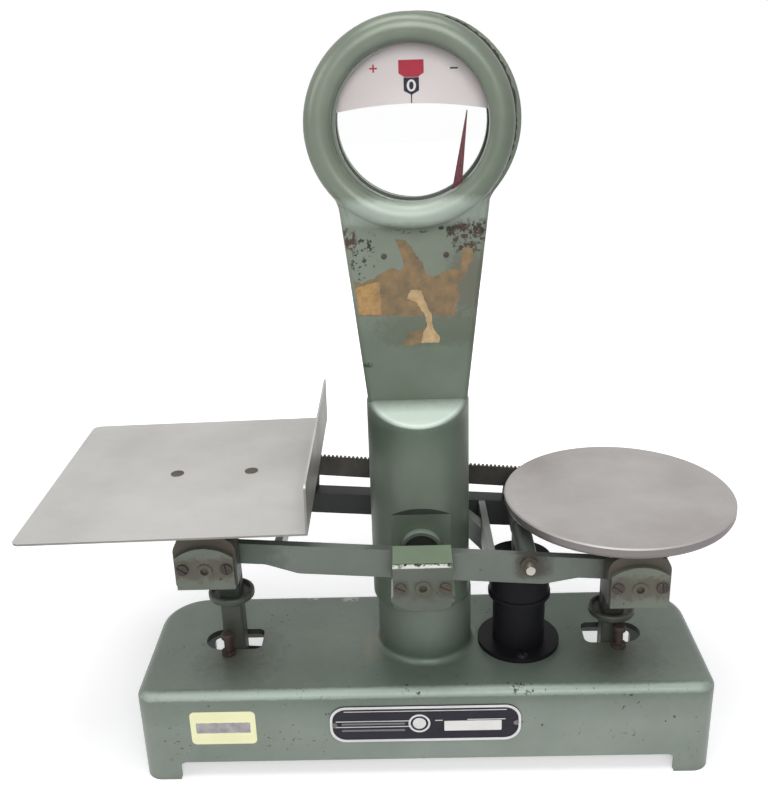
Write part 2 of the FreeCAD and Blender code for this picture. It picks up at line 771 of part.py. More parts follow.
def bracket_face(y0, y1, grow=0.0):
    """Front bracket's outline: flat top, straight sides, small ears and a round bottom."""
    top = bracket_top
    half = bracket_half_width
    ear = half + bracket_ear
    points = [V(-half, y0, top), V(half, y0, top), V(half, y0, bracket_ear_z + 2.5),
              V(ear, y0, bracket_ear_z)]
    lines = [Part.makeLine(a, b) for a, b in zip(points, points[1:])]
    bottom = Part.Arc(points[-1], V(0, y0, bracket_bottom), V(-ear, y0, bracket_ear_z)).toShape()
    back = [Part.makeLine(V(-ear, y0, bracket_ear_z), V(-half, y0, bracket_ear_z + 2.5)),
            Part.makeLine(V(-half, y0, bracket_ear_z + 2.5), points[0])]
    face = Part.Face(Part.Wire(lines + [bottom] + back))
    return moved(face.extrude(V(0, y1 - y0, 0)), 0, 0, pivot_z)


def make_centre_bearings():
    """Front bracket with cover, rear bracket, the bearings and their screws."""
    block_front = bracket_front + cover_thickness
    block_back = bar_front - bar_gap
    block = bracket_face(block_front, block_back)
    arm_z1 = pivot_z + bracket_arm_top
    arm_z0 = arm_z1 - bracket_arm_thickness
    reach = box(-bracket_arm_half_width, bracket_arm_half_width, block_back - 6, flat_y, arm_z0, arm_z1)
    pad = box(-bracket_arm_half_width, bracket_arm_half_width, flat_y - bracket_pad_thickness, flat_y,
              arm_z0 - bracket_pad_drop, arm_z1)
    block = fuse(block, reach, pad)
    bore = cyl_y(0, pivot_z, centre_bush_radius, block_back - bearing_length, block_back + 1)
    relief = cyl_y(0, pivot_z, centre_pin_radius + 1, block_front - 1, block_back)
    screw_end = block_front + bracket_screw_reach
    screws = [cyl_y(x, pivot_z + bracket_screw_z, screw_hole, block_front - 1, screw_end)
              for x in (-bracket_screw_x, bracket_screw_x)]
    bolt_holes = [cyl_y(x, bracket_bolt_z(), screw_hole,
                        flat_y - bracket_pad_thickness - 1, flat_y + 1)
                  for x in bracket_bolt_x]
    save("front_bracket", block.cut([bore, relief] + screws + bolt_holes))
    cover = bracket_face(bracket_front, block_front)
    crest = [e for e in cover.Edges if isinstance(e.Curve, Part.Line)
             and e.BoundBox.YMax < bracket_front + 1e-6
             and abs(e.CenterOfMass.z - pivot_z - bracket_top) < 1e-6]
    cover = cover.makeFillet(bracket_edge_round, crest)
    boss = cyl_y(0, pivot_z, cover_boss_radius, bracket_front - cover_boss_rise, bracket_front + 0.1)
    pit = cyl_y(0, pivot_z, cover_boss_bore, bracket_front - 2, bracket_front + cover_boss_depth)
    cover = fuse(cover, boss).cut([pit]
                                    + [cyl_y(x, pivot_z + bracket_screw_z, screw_hole,
                                             bracket_front - 1, block_front + 1)
                                       for x in (-bracket_screw_x, bracket_screw_x)])
    save("front_bracket_cover", cover)
    save("front_bracket_screws", *[slotted_screw_y(x, pivot_z + bracket_screw_z, bracket_front,
                                                   cover_thickness + 7, turn=25)
                                   for x in (-bracket_screw_x, bracket_screw_x)])
    length = bracket_pad_thickness + fixing_reach
    under = slotted_screw_z(0, 0, 0, length).mirror(V(0, 0, 0), V(0, 0, 1))
    fixings = [slotted_screw_y(x, bracket_bolt_z(), flat_y - bracket_pad_thickness, length)
               for x in bracket_bolt_x]
    fixings += [moved(under, x, 0, base_roof - bracket_pad_thickness) for x in check_screw_x]
    save("fixing_screws", *fixings)
    rear_y0 = column_y + column_radius
    rear_y1 = back_bar_front - bar_gap
    rear = rounded_box(-rear_bracket_half_width, rear_bracket_half_width, rear_y0 - 6, rear_y1,
                       pivot_z - rear_bracket_half_height, pivot_z + rear_bracket_half_height,
                       rear_bracket_round, V(0, 1, 0))
    rear = rear.cut([cyl_z(0, column_y, column_radius, pillar_top, shoulder_front_z),
                     cyl_y(0, pivot_z, centre_bush_radius, rear_y1 - bearing_length, rear_y1 + 1),
                     cyl_y(0, pivot_z, centre_pin_radius + 1, rear_y0 - 1, rear_y1)]
                    + [cyl_y(x, pivot_z, screw_hole, rear_y0 - 8, rear_y1 + 1)
                       for x in rear_bolt_x])
    save("rear_bracket", rear)
    head_y = column_y + column_radius - housing_wall - 2.7
    bolts = []
    for x in rear_bolt_x:
        head = cyl_y(x, pivot_z, screw_shank_radius + 1, head_y - rear_bolt_head, head_y)
        bolts.append(fuse(cyl_y(x, pivot_z, screw_shank_radius, head_y, rear_y1 - 3), head))
    save("rear_bracket_bolts", *bolts)
    bearings = []
    for y0 in (block_back - bearing_length, rear_y1 - bearing_length):
        bush = cyl_y(0, pivot_z, centre_bush_radius, y0, y0 + bearing_length)
        bearings.append(bush.cut(cyl_y(0, pivot_z, centre_pin_radius + running_fit, y0 - 1,
                                       y0 + bearing_length + 1)))
    save("centre_bearings", *bearings)


# ---------------------------------------------------------------- dashpot, fixed parts
def dashpot_screw_places():
    """Flange screws, two places in X and Y."""
    radius = (dashpot_radius + dashpot_flange_radius) / 2
    return [(dashpot_x + radius * math.sin(math.radians(a)), column_y - radius * math.cos(math.radians(a)))
            for a in (0, 180)]


def make_dashpot():
    """Cylinder with flange, cap with a skirt, and flange screws."""
    z0 = base_height
    top = z0 + dashpot_height
    body = fuse(cyl_z(dashpot_x, column_y, dashpot_radius, z0, top),
                cyl_z(dashpot_x, column_y, dashpot_flange_radius, z0, z0 + dashpot_flange_thickness))
    body = body.cut(cyl_z(dashpot_x, column_y, dashpot_radius - dashpot_wall, z0 + dashpot_flange_thickness,
                          top + 1))
    body = body.cut([cyl_z(x, y, screw_hole, z0 - 1, z0 + dashpot_flange_thickness + 1)
                     for x, y in dashpot_screw_places()])
    save("dashpot_body", body)
    save("dashpot_screws", *[dome_screw_z(x, y, z0 + dashpot_flange_thickness,
                                          dashpot_flange_thickness + fixing_reach)
                             for x, y in dashpot_screw_places()])
    low = top - cap_skirt
    bead = cap_radius + cap_bead
    cap = fuse(cyl_z(dashpot_x, column_y, cap_radius, low, top + cap_thickness),
               cyl_z(dashpot_x, column_y, bead, low, low + cap_bead_height),
               cyl_z(dashpot_x, column_y, bead, top + cap_thickness - cap_bead_height, top + cap_thickness))
    cap = cap.cut([cyl_z(dashpot_x, column_y, dashpot_radius + screw_fit, low - 1, top),
                   cyl_z(dashpot_x, column_y, cap_hole_radius, top - 1, top + cap_thickness + 1)])
    save("dashpot_cap", cap)


# ---------------------------------------------------------------- small fixed parts
def stop_screw_places():
    """Stop screws in front of the slots, in X and Y."""
    return [(side * stop_x, stop_y) for side in (-1, 1)]


def make_stop_screws():
    """Two upright screws with lock nuts; the cup of the lower support comes to rest on one of them."""
    top = pivot_z - arm_z + cup_top - cup_thickness - stop_gap
    screws = []
    nuts = []
    for x, y in stop_screw_places():
        head = cyl_z(x, y, stop_head_radius, top - stop_head_height, top)
        crown = [e for e in head.Edges if abs(e.BoundBox.ZMin - top) < 1e-6]
        shank = cyl_z(x, y, stop_shank_radius, base_roof, top - stop_head_height)
        screws.append(fuse(head.makeFillet(1.5, crown), shank))
        nut_top = base_height + stop_nut_height
        nut = cyl_z(x, y, stop_nut_radius, base_height, nut_top)
        nuts.append(nut.cut(cyl_z(x, y, stop_shank_radius, base_height - 1, nut_top + 1)))
    save("stop_screws", *screws)
    save("stop_nuts", *nuts)


def make_base_small_parts():
    """Nameplate, its pins and the paper label."""
    plate = rounded_box(-nameplate_length / 2, nameplate_length / 2,
                        base_front - nameplate_thickness, base_front,
                        nameplate_z - nameplate_height / 2, nameplate_z + nameplate_height / 2,
                        nameplate_corner, V(0, 1, 0))
    pin_radius = screw_shank_radius * 0.5
    holes = [cyl_y(side * nameplate_pin_spread, nameplate_z, pin_radius + screw_fit,
                   base_front - nameplate_thickness - 1, base_front + 1) for side in (-1, 1)]
    save("nameplate", plate.cut(holes))
    pins = []
    for side in (-1, 1):
        x = side * nameplate_pin_spread
        face = base_front - nameplate_thickness
        pins.append(fuse(cyl_y(x, nameplate_z, pin_radius, face, face + base_wall),
                         cyl_y(x, nameplate_z, pin_radius * 2.1, face - 0.8, face)))
    save("nameplate_pins", *pins)
    save("paper_label", rounded_box(label_x - label_length / 2, label_x + label_length / 2,
                                    base_front - label_thickness, base_front, label_z - label_height / 2,
                                    label_z + label_height / 2, 4.0, V(0, 1, 0)))


# ---------------------------------------------------------------- beam
def level_bar_profile():
    """Front bar in X and Z about the pivot, with shallower ends."""
    end = arm + bar_end_length
    return [(-end, bar_top), (end, bar_top), (end, bar_end_bottom), (bar_taper_end, bar_end_bottom),
            (bar_taper_start, bar_bottom), (-bar_taper_start, bar_bottom), (-bar_taper_end, bar_end_bottom),
            (-end, bar_end_bottom)]


def make_beam():
    """Cast frame of two bars and struts, its pivots, the cross rod and the link pin."""
    def lift(points):
        return [(x, pivot_z + z) for x, z in points]
    front = prism_xz(lift(level_bar_profile()), bar_front, front_bar_back)
    bends = edges_along(front, V(0, 1, 0), lambda c: abs(abs(c.x) - bar_taper_start) < 1
                        or abs(abs(c.x) - bar_taper_end) < 1)
    front = front.makeFillet(14.0, bends)
    end = arm + bar_end_length
    step = back_bar_step
    web = prism_xz(lift([(-end, back_bar_left_bottom), (-step, back_bar_left_bottom),
                         (step, back_bar_right_bottom), (end, back_bar_right_bottom), (end, back_bar_top),
                         (-end, back_bar_top)]), back_bar_front, back_bar_back)
    flange = box(-tare_half_length - 4, tare_half_length + 4,
                 back_bar_front, back_bar_front + back_flange_depth,
                 pivot_z + back_bar_top - back_flange_thickness, pivot_z + back_bar_top)
    ears = [box(side * arm - bar_end_length, side * arm + bar_end_length, back_bar_front, back_bar_back,
                pivot_z + bar_end_bottom, pivot_z + bar_top) for side in (-1, 1)]
    trims = [box(min(side * (arm - bar_end_length), side * (end + 1)),
                 max(side * (arm - bar_end_length), side * (end + 1)), back_bar_front - 1, back_bar_back + 1,
                 pivot_z + back_bar_right_bottom - 1, pivot_z + bar_end_bottom) for side in (-1, 1)]
    web = web.cut(trims)
    boss_back = back_bar_front + back_boss_thickness
    boss = box(-back_boss_half_width, link_arm_x + 4, back_bar_front, boss_back,
               pivot_z + back_bar_top - 1, pivot_z + bar_top)
    rod_z = pivot_z + cross_boss_z
    rod_x = dashpot_level_x
    rod_boss = fuse(cyl_y(rod_x, rod_z, cross_boss_radius, front_bar_back - 1, back_bar_back - 1),
                    box(rod_x - cross_boss_radius, rod_x + cross_boss_radius, back_bar_front,
                        back_bar_back - 1, pivot_z + back_bar_top - 1, rod_z))
    rod_boss = rod_boss.cut(box(dashpot_level_x - 10, dashpot_level_x + 10,
                                column_y - hanger_thickness / 2 - cross_boss_gap,
                                column_y + hanger_thickness / 2 + cross_boss_gap, rod_z - 10, rod_z + 10))
    struts = []
    for front_x, back_x in (right_strut_x, left_strut_x):
        side_view = prism_yz([(front_bar_back - 1, pivot_z + bar_top - 0.5),
                              (back_bar_front + 1, pivot_z + back_bar_top),
                              (back_bar_front + 1, pivot_z + back_bar_top - strut_depth - 4),
                              (front_bar_back - 1, pivot_z + bar_top - strut_depth - 4)], -arm, arm)
        wide = strut_width / 2
        plan = prism_xy([(front_x - wide, front_bar_back - 1), (front_x + wide, front_bar_back - 1),
                         (back_x + wide, back_bar_front + 1), (back_x - wide, back_bar_front + 1)],
                        pivot_z - 50, pivot_z + 50)
        struts.append(side_view.common(plan))
    brace_top = pivot_z + back_bar_top
    brace_x = right_strut_x[0]
    brace = prism_xy([(brace_x, -4), (brace_x, 14), (31.0, back_bar_front + 1), (24.0, back_bar_front + 1)],
                     brace_top - 17, brace_top + 1.5)
    link_arm = box(link_arm_x - 3, link_arm_x + 3, column_y + 5, back_bar_front + 1, pivot_z - 5, pivot_z + 5)
    casting = fuse(front, web, flange, boss, rod_boss, brace, link_arm, *(ears + struts))
    holes = [cyl_y(0, pivot_z, centre_pin_radius, bar_front - 1, front_bar_back + 1),
             cyl_y(0, pivot_z, centre_pin_radius, back_bar_front - 1, back_bar_back + 1),
             cyl_y(dashpot_level_x, rod_z, cross_rod_radius, bar_front - 1, back_bar_back + 1),
             cyl_y(link_arm_x, pivot_z, link_pin_radius, column_y + 4, column_y + 16)]
    for side in (-1, 1):
        holes.append(cyl_y(side * arm, pivot_z, end_pin_radius, bar_front - 1, front_bar_back + 1))
        holes.append(cyl_y(side * arm, pivot_z, end_pin_radius, back_bar_front - 1, back_bar_back + 1))
    save("beam_casting", tilted(casting.cut(holes)))
    reach = bar_gap + bearing_length + 2
    centre_front = cyl_y(0, pivot_z, centre_pin_radius, bar_front - reach, front_bar_back + 6)
    centre_rear = cyl_y(0, pivot_z, centre_pin_radius, back_bar_front - reach,
                        back_bar_front + back_boss_thickness)
    save("centre_pivots", tilted(centre_front), tilted(centre_rear))
    pins = []
    for side in (-1, 1):
        pin = cyl_y(side * arm, pivot_z, end_pin_radius, -block_inner - bearing_length - 2,
                    front_bar_back + 4)
        pins += [tilted(pin), tilted(mirror_y(pin))]
    save("end_pivots", *pins)
    save("cross_rod", tilted(cyl_y(rod_x, rod_z, cross_rod_radius, bar_front - cross_rod_reach,
                                   back_bar_back)))
    nut = cyl_y(rod_x, rod_z, cross_nut_radius, bar_front - cross_nut_thickness, bar_front)
    nut = nut.cut(cyl_y(rod_x, rod_z, cross_rod_radius, bar_front - cross_rod_reach, bar_front))
    save("cross_rod_nut", tilted(nut))
    save("link_pin", tilted(cyl_y(link_arm_x, pivot_z, link_pin_radius, link_front - 1, column_y + 12)))


# ---------------------------------------------------------------- tare bar and poise
def on_tare_bar(shape):
    """Place a shape drawn along a level tare bar: a little steeper than the beam, right-hand leg fixed."""
    placed = shape.copy()
    placed.rotate(V(tare_hinge_x, 0, pivot_z + tare_bottom), V(0, 1, 0), tare_lean)
    return tilted(placed)


def make_tare_bar():
    """Notched bar on two legs above the back bar, with its poise."""
    z0 = pivot_z + tare_bottom
    z1 = z0 + tare_height
    bar = box(-tare_half_length, tare_half_length, tare_front, tare_front + tare_thickness, z0, z1)
    count = int((2 * tare_half_length - 4) / tare_pitch)
    start = -count * tare_pitch / 2
    teeth = []
    for i in range(count + 1):
        x = start + i * tare_pitch
        teeth.append(prism_xz([(x - tare_tooth * 0.55, z1 + 0.01), (x + tare_tooth * 0.55, z1 + 0.01),
                               (x, z1 - tare_tooth)], tare_front - 1, tare_front + tare_thickness + 1))
    legs = []
    for side in (-1, 1):
        x = side * (tare_half_length - tare_leg_length / 2)
        legs.append(tilted(box(x - tare_leg_length / 2, x + tare_leg_length / 2, tare_front,
                               tare_front + tare_thickness, pivot_z + back_bar_top, z0 + tare_height / 2)))
    save("tare_bar", fuse(on_tare_bar(bar.cut(teeth)), *legs))
    gap = loose_fit
    outer = rounded_box(-poise_half_length, poise_half_length, tare_front - poise_front_wall,
                        tare_front + tare_thickness + poise_back_wall, z0 + 1.5, z0 + 1.5 + poise_height,
                        2.0, V(0, 0, 1))
    groove = box(-poise_half_length - 1, poise_half_length + 1, tare_front - gap,
                 tare_front + tare_thickness + gap, z0, z1 + gap)
    screw_z = z1 + gap + 4
    hole = cyl_z(0, tare_front + tare_thickness / 2, screw_shank_radius, screw_z - 10, screw_z + 40)
    save("poise", on_tare_bar(outer.cut([groove, hole])))
    top = z0 + 1.5 + poise_height
    knob = fuse(cyl_z(0, tare_front + tare_thickness / 2, screw_shank_radius, z1 + gap, top),
                cyl_z(0, tare_front + tare_thickness / 2, 4.5, top, top + 5))
    save("poise_screw", on_tare_bar(knob))


# ---------------------------------------------------------------- supports
def cover_shape(y0, y1):
    """Bearing cover about the end pivot: flat bottom, straight sides and an arched top."""
    half = cover_half_width
    sides = [V(-half, y0, cover_side_top), V(-half, y0, cover_bottom), V(half, y0, cover_bottom),
             V(half, y0, cover_side_top)]
    lines = [Part.makeLine(a, b) for a, b in zip(sides, sides[1:])]
    arch = Part.Arc(sides[-1], V(0, y0, cover_top), sides[0]).toShape()
    return Part.Face(Part.Wire(lines + [arch])).extrude(V(0, y1 - y0, 0))


def support_casting():
    """Stirrup about the end pivot: two bearing blocks, a bridge, the cup and the stem."""
    blocks = []
    for side in (-1, 1):
        low, high = sorted((side * block_inner, side * block_outer))
        block = box(-support_half_width, support_half_width, low, high,
                    support_block_bottom, support_block_top)
        top = edges_along(block, V(0, 1, 0), lambda c: c.z > 0)
        block = block.makeFillet(support_top_round, top)
        blocks.append(block)
    bridge = rounded_box(-support_half_width, support_half_width, -bridge_half_length, bridge_half_length,
                         bridge_top - bridge_thickness, bridge_top, bridge_round, V(0, 1, 0))
    half = stem_width / 2
    stem = box(-half, half, -half, half, -check_drop - stem_tail, bridge_top - 2)
    stem = stem.makeFillet(3.0, edges_along(stem, V(0, 0, 1)))
    cup = cyl_z(0, 0, cup_radius, cup_top - cup_thickness, cup_top)
    cup = cup.makeFillet(cup_round, [e for e in cup.Edges if isinstance(e.Curve, Part.Circle)])
    cup = cup.cut(cyl_z(0, 0, cup_dish_radius, cup_top - cup_dish_depth, cup_top + 1))
    collar = cyl_z(0, 0, collar_radius, cup_top - cup_thickness - collar_thickness, cup_top - cup_thickness)
    body = fuse(blocks[0], blocks[1], bridge, stem, cup, collar)
    cuts = [cyl_y(0, -check_drop, stem_pin_radius, -half - 1, half + 1)]
    for side in (-1, 1):
        low, high = sorted((side * (block_inner - 1), side * (block_inner + bearing_length)))
        cuts.append(cyl_y(0, 0, end_bush_radius, low, high))
        low, high = sorted((side * block_inner, side * (block_outer + 1)))
        cuts.append(cyl_y(0, 0, end_pin_radius + 1, low, high))
        low, high = sorted((side * (block_outer - 8), side * (block_outer + 1)))
        cuts += [cyl_y(x, cover_screw_z, screw_hole, low, high)
                 for x in (-cover_screw_x, cover_screw_x)]
    return body.cut(cuts)


def make_support(name, side):
    """One support with covers, screws, bearings and stem pin, placed at its end pivot."""
    place = (side * arm_x, 0, pivot_z - side * arm_z)
    save(name + "_support", moved(support_casting_with_holes(), *place))
    front = cover_shape(-cover_outer, -block_outer)
    boss = cyl_y(0, 0, cover_boss_radius, -cover_outer - cover_boss_rise, -cover_outer + 0.1)
    pit = cyl_y(0, 0, cover_boss_bore, -cover_outer - 2, -cover_outer + cover_boss_depth)
    cover = fuse(front, boss).cut([pit] + [cyl_y(x, cover_screw_z, screw_hole,
                                                 -cover_outer - 1, -block_outer + 1)
                                           for x in (-cover_screw_x, cover_screw_x)])
    save(name + "_covers", moved(cover, *place), moved(mirror_y(cover), *place))
    screws = [slotted_screw_y(x, cover_screw_z, -cover_outer, cover_thickness + 6, turn=turn,
                              head=screw_head_radius * 1.05)
              for x, turn in ((-cover_screw_x, 35), (cover_screw_x, 80))]
    save(name + "_cover_screws", *[moved(s, *place) for s in screws + [mirror_y(s) for s in screws]])
    bush = cyl_y(0, 0, end_bush_radius, -block_inner - bearing_length, -block_inner)
    bush = bush.cut(cyl_y(0, 0, end_pin_radius + running_fit, -block_outer - 1, 0))
    save(name + "_bearings", moved(bush, *place), moved(mirror_y(bush), *place))
    reach = stem_width / 2 + lever_gap + lever_bar_thickness
    save(name + "_stem_pin", moved(cyl_y(0, -check_drop, stem_pin_radius, -reach - 2, reach + 2), *place))


def support_casting_with_holes():
    """Support casting, drilled for the locating pins of its plate."""
    bridge_low = bridge_top - bridge_thickness
    return support_casting().cut([cyl_z(0, y, locating_pin_radius, bridge_low, bridge_top + 1)
                                  for y in (-locating_pin_spread, locating_pin_spread)])


def on_plate(shape):
    """Lean a level shape with the sheet plate, whose left edge droops."""
    placed = shape.copy()
    placed.rotate(V(-arm_x, 0, plate_z), V(0, 1, 0), -plate_droop)
    return placed


def make_square_plate():
    """Sheet plate with an upright flange at its right edge, its carrier, rivets and locating pins."""
    x0 = plate_right_edge - plate_length
    z0 = plate_z
    z1 = z0 + plate_thickness
    half = plate_width / 2
    sheet = rounded_box(x0, plate_right_edge + 20, -half, half, z0, z1, plate_corner, V(0, 0, 1))
    sheet = sheet.common(box(x0, plate_right_edge, -half, half, z0, z1))
    flange = rounded_box(plate_right_edge - plate_thickness, plate_right_edge, -half, half, z0 - 20,
                         z1 + plate_flange_height, flange_corner, V(1, 0, 0))
    flange = flange.common(box(x0, plate_right_edge + 1, -half, half, z0, z1 + plate_flange_height))
    flange.rotate(V(plate_right_edge, 0, z0), V(0, 1, 0), flange_lean)
    edge = plate_thickness / 2
    corner = cyl_y(plate_right_edge - edge, z0 + edge, edge, -half, half)
    plate = fuse(sheet, flange, corner)
    rivets = [rivet_middle + side * rivet_spread_x for side in (-1, 1)]
    shank = plate_rivet_radius * 0.6
    save("square_plate", on_plate(plate.cut([cyl_z(x, 0, shank, z0 - 1, z1 + 1) for x in rivets])))
    foot = pivot_z + arm_z + bridge_top
    carrier = box(rivet_middle - carrier_half_length, rivet_middle + carrier_half_length,
                  -carrier_half_width, carrier_half_width, foot - 20, z0)
    carrier = on_plate(carrier.cut([cyl_z(x, 0, shank, foot - 30, z0 + 1) for x in rivets]))
    pins = [(-arm_x, side * locating_pin_spread) for side in (-1, 1)]
    depth = plate_z - foot - 2
    reach = 2 * carrier_half_length
    carrier = carrier.common(box(rivet_middle - reach, rivet_middle + reach, -reach, reach, foot, foot + 40))
    sockets = [cyl_z(x, y, locating_pin_radius, foot - 1, foot + depth) for x, y in pins]
    save("plate_carrier", carrier.cut(sockets))
    save("plate_pins", *[cyl_z(x, y, locating_pin_radius, foot - bridge_thickness, foot + depth)
                         for x, y in pins])
    save("plate_rivets", *[on_plate(fuse(cyl_z(x, 0, shank, foot + 0.8, z1),
                                         cyl_z(x, 0, plate_rivet_radius, z1, z1 + 0.4))) for x in rivets])


def make_round_pan():
    """Cast pan with a rim, dished top and two sockets, and its locating pins."""
    x = arm_x
    z0 = pivot_z - arm_z + bridge_top
    top = z0 + pan_plate_thickness + pan_dish
    profile = [(0, z0), (pan_radius - pan_rim_width - 2, z0),
               (pan_radius - pan_rim_width, top - pan_rim_height),
               (pan_radius - 1, top - pan_rim_height), (pan_radius, top - pan_rim_height + 2),
               (pan_radius, top - 1), (pan_radius - 1, top), (pan_radius - 3.5, top),
               (pan_radius - 9, top - pan_dish), (0, top - pan_dish)]
    wire = Part.makePolygon([V(r, 0, z) for r, z in profile + profile[:1]])
    pan = Part.Face(wire).revolve(V(0, 0, 0), V(0, 0, 1), 360)
    pan = moved(pan, x, 0, 0)
    depth = pan_plate_thickness - 1.5
    sockets = [cyl_z(x, y, locating_pin_radius + open_fit, z0 - 1, z0 + depth)
               for y in (-locating_pin_spread, locating_pin_spread)]
    save("round_pan", pan.cut(sockets))
    save("locating_pins", *[cyl_z(x, y, locating_pin_radius, z0 - bridge_thickness, z0 + depth - 0.5)
                            for y in (-locating_pin_spread, locating_pin_spread)])


# ---------------------------------------------------------------- pointer, link, dashpot hanger
def make_pointer():
    """Needle with hub and crank, and the link down to the beam."""
    y0 = column_y - pointer_thickness / 2
    y1 = column_y + pointer_thickness / 2
    z = pointer_pivot_z
    shoulder = z + pointer_taper_start
    foot = pointer_half_width * 0.8
    tip = z + pointer_tip_radius
    needle = prism_xz([(-foot, z), (foot, z), (pointer_half_width, shoulder), (0.3, tip), (-0.3, tip),
                       (-pointer_half_width, shoulder)], y0, y1)
    half = pointer_hub_thickness / 2
    hub = cyl_y(0, z, pointer_hub_radius, column_y - half, column_y + half)
    crank = fuse(box(0, crank_radius, y0 - 1, y1 + 1, z - 3.5, z + 3.5),
                 cyl_y(crank_radius, z, 4.5, y0 - 1, y1 + 1))
    tail = box(-crank_radius - 6, 0, y0 - 1, y1 + 1, z - 4, z + 4)
    body = fuse(needle, hub, crank, tail)
    body = body.cut(cyl_y(0, z, pointer_shaft_radius + running_fit, column_y - 20, column_y + 20))
    pin = cyl_y(crank_radius, z, link_pin_radius, link_front - link_thickness - 0.5, y1)
    save("pointer", tilted(fuse(body, pin), pointer_tilt, z))
    turn = math.radians(pointer_tilt)
    top = (crank_radius * math.cos(turn), z - crank_radius * math.sin(turn))
    lean = math.radians(rest_tilt)
    low = (link_arm_x * math.cos(lean), pivot_z - link_arm_x * math.sin(lean))
    link_y0 = link_front - link_thickness
    dx, dz = low[0] - top[0], low[1] - top[1]
    length = math.hypot(dx, dz)
    nx = -dz / length * link_half_width
    nz = dx / length * link_half_width
    bar = prism_xz([(top[0] + nx, top[1] + nz), (low[0] + nx, low[1] + nz),
                    (low[0] - nx, low[1] - nz), (top[0] - nx, top[1] - nz)], link_y0, link_front)
    link = fuse(bar, cyl_y(top[0], top[1], link_eye_radius, link_y0, link_front),
                cyl_y(low[0], low[1], link_eye_radius, link_y0, link_front))
    upper_eye = cyl_y(top[0], top[1], link_pin_radius + running_fit, link_y0 - 1, link_front + 1)
    lower_eye = cyl_y(low[0], low[1], link_pin_radius + open_fit, link_y0 - 1, link_front + 1)
    save("pointer_link", link.cut([upper_eye, lower_eye]))


def make_hanger():
    """Hanger on the cross rod, with the piston rod and piston in the dashpot."""
    turn = math.radians(rest_tilt)
    z = pivot_z - dashpot_level_x * math.sin(turn) + cross_boss_z * math.cos(turn)
    y0 = column_y - hanger_thickness / 2
    y1 = column_y + hanger_thickness / 2
    eye = cyl_y(dashpot_x, z, hanger_eye_radius, y0, y1)
    foot = base_height + dashpot_height - 6
    blade = box(dashpot_x - hanger_width / 2, dashpot_x + hanger_width / 2, y0, y1, foot, z)
    hanger = fuse(eye, blade).cut([cyl_y(dashpot_x, z, cross_rod_radius + rod_eye_fit, y0 - 1, y1 + 1),
                                   cyl_z(dashpot_x, column_y, piston_rod_radius * 0.8, foot - 1, foot + 6)])
    save("dashpot_hanger", hanger)
    piston_z = base_height + dashpot_height * 0.45
    rod = fuse(cyl_z(dashpot_x, column_y, piston_rod_radius * 0.8, foot, foot + 6),
               cyl_z(dashpot_x, column_y, piston_rod_radius, piston_z, foot))
    save("piston_rod", rod)
    piston = cyl_z(dashpot_x, column_y, piston_radius, piston_z - piston_thickness, piston_z)
    save("piston", piston.cut([cyl_z(dashpot_x + 11 * math.cos(i * math.pi / 2),
                                     column_y + 11 * math.sin(i * math.pi / 2), 2.5,
                                     piston_z - piston_thickness - 1, piston_z + 1) for i in range(4)]))


# ---------------------------------------------------------------- check lever
def make_check_lever():
    """Ladder-shaped lever under the base, its bracket and pivot pin."""
    inner = stem_width / 2 + lever_gap
    outer = inner + lever_bar_thickness
    reach = arm + 9
    half = lever_bar_height / 2
    bars = [box(-reach, reach, -outer, -inner, check_z - half, check_z + half),
            box(-reach, reach, inner, outer, check_z - half, check_z + half)]
    ties = [box(side * x - lever_tie_length / 2, side * x + lever_tie_length / 2, -inner, inner,
                check_z - half, check_z + half) for side in (-1, 1) for x in lever_tie_x]
    lever = fuse(*(bars + ties))
    holes = [cyl_y(side * arm, check_z, stem_pin_radius + open_fit, -outer - 1, outer + 1)
             for side in (-1, 1)]
    holes.append(cyl_y(0, check_z, check_pin_radius + running_fit, -outer - 1, outer + 1))
    save("check_lever", tilted(lever.cut(holes), rest_tilt, check_z))
    half_width = check_bracket_width / 2
    bracket = fuse(box(-check_bracket_half_length, check_bracket_half_length, -half_width, half_width,
                       check_z - check_bracket_drop, base_roof - 1),
                   box(-check_pad_half_length, check_pad_half_length, -half_width, half_width,
                       base_roof - bracket_pad_thickness, base_roof))
    bracket = bracket.cut([cyl_y(0, check_z, check_pin_radius, -half_width - 1, half_width + 1)]
                          + [cyl_z(x, 0, screw_hole, base_roof - bracket_pad_thickness - 1, base_roof + 1)
                             for x in check_screw_x])
    save("check_bracket", bracket)
    save("check_pin", cyl_y(0, check_z, check_pin_radius, -outer - 2, outer + 2))


def write_parts():
    """One STEP file for each node."""
    os.makedirs("parts", exist_ok=True)
    for name, shape in parts.items():
        moved(shape, frame_x, 0, 0).exportStep("parts/%s.step" % name)


make_base()
make_housing(-1)
make_housing(1)
make_housing_small_parts()
make_centre_bearings()
make_dashpot()
make_base_small_parts()
make_stop_screws()
make_beam()
make_tare_bar()
make_support("left", -1)
make_support("right", 1)
make_square_plate()
make_round_pan()
make_pointer()
make_hanger()
make_check_lever()
write_parts()
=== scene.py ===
"""Looks for a counter balance: enamelled cast base and tower, rocking beam, plate, pan and dashpot.

The part's frame is in metres: +Z up, the front of the scale faces -Y, and Z = 0 is the table. Patches
and thin pieces are given in millimetres with X = 0 at the beam's pivot, and move to that frame when they
are made. The CAD nodes keep their shapes and get their finishes here; printed, glued and engraved things
that are too thin for the castings are built as pieces of their own.
"""

import logging
import math
import random
from dataclasses import dataclass
from enum import Enum
from functools import cached_property, partial

import bmesh
import bpy
from mathutils import Matrix, Vector


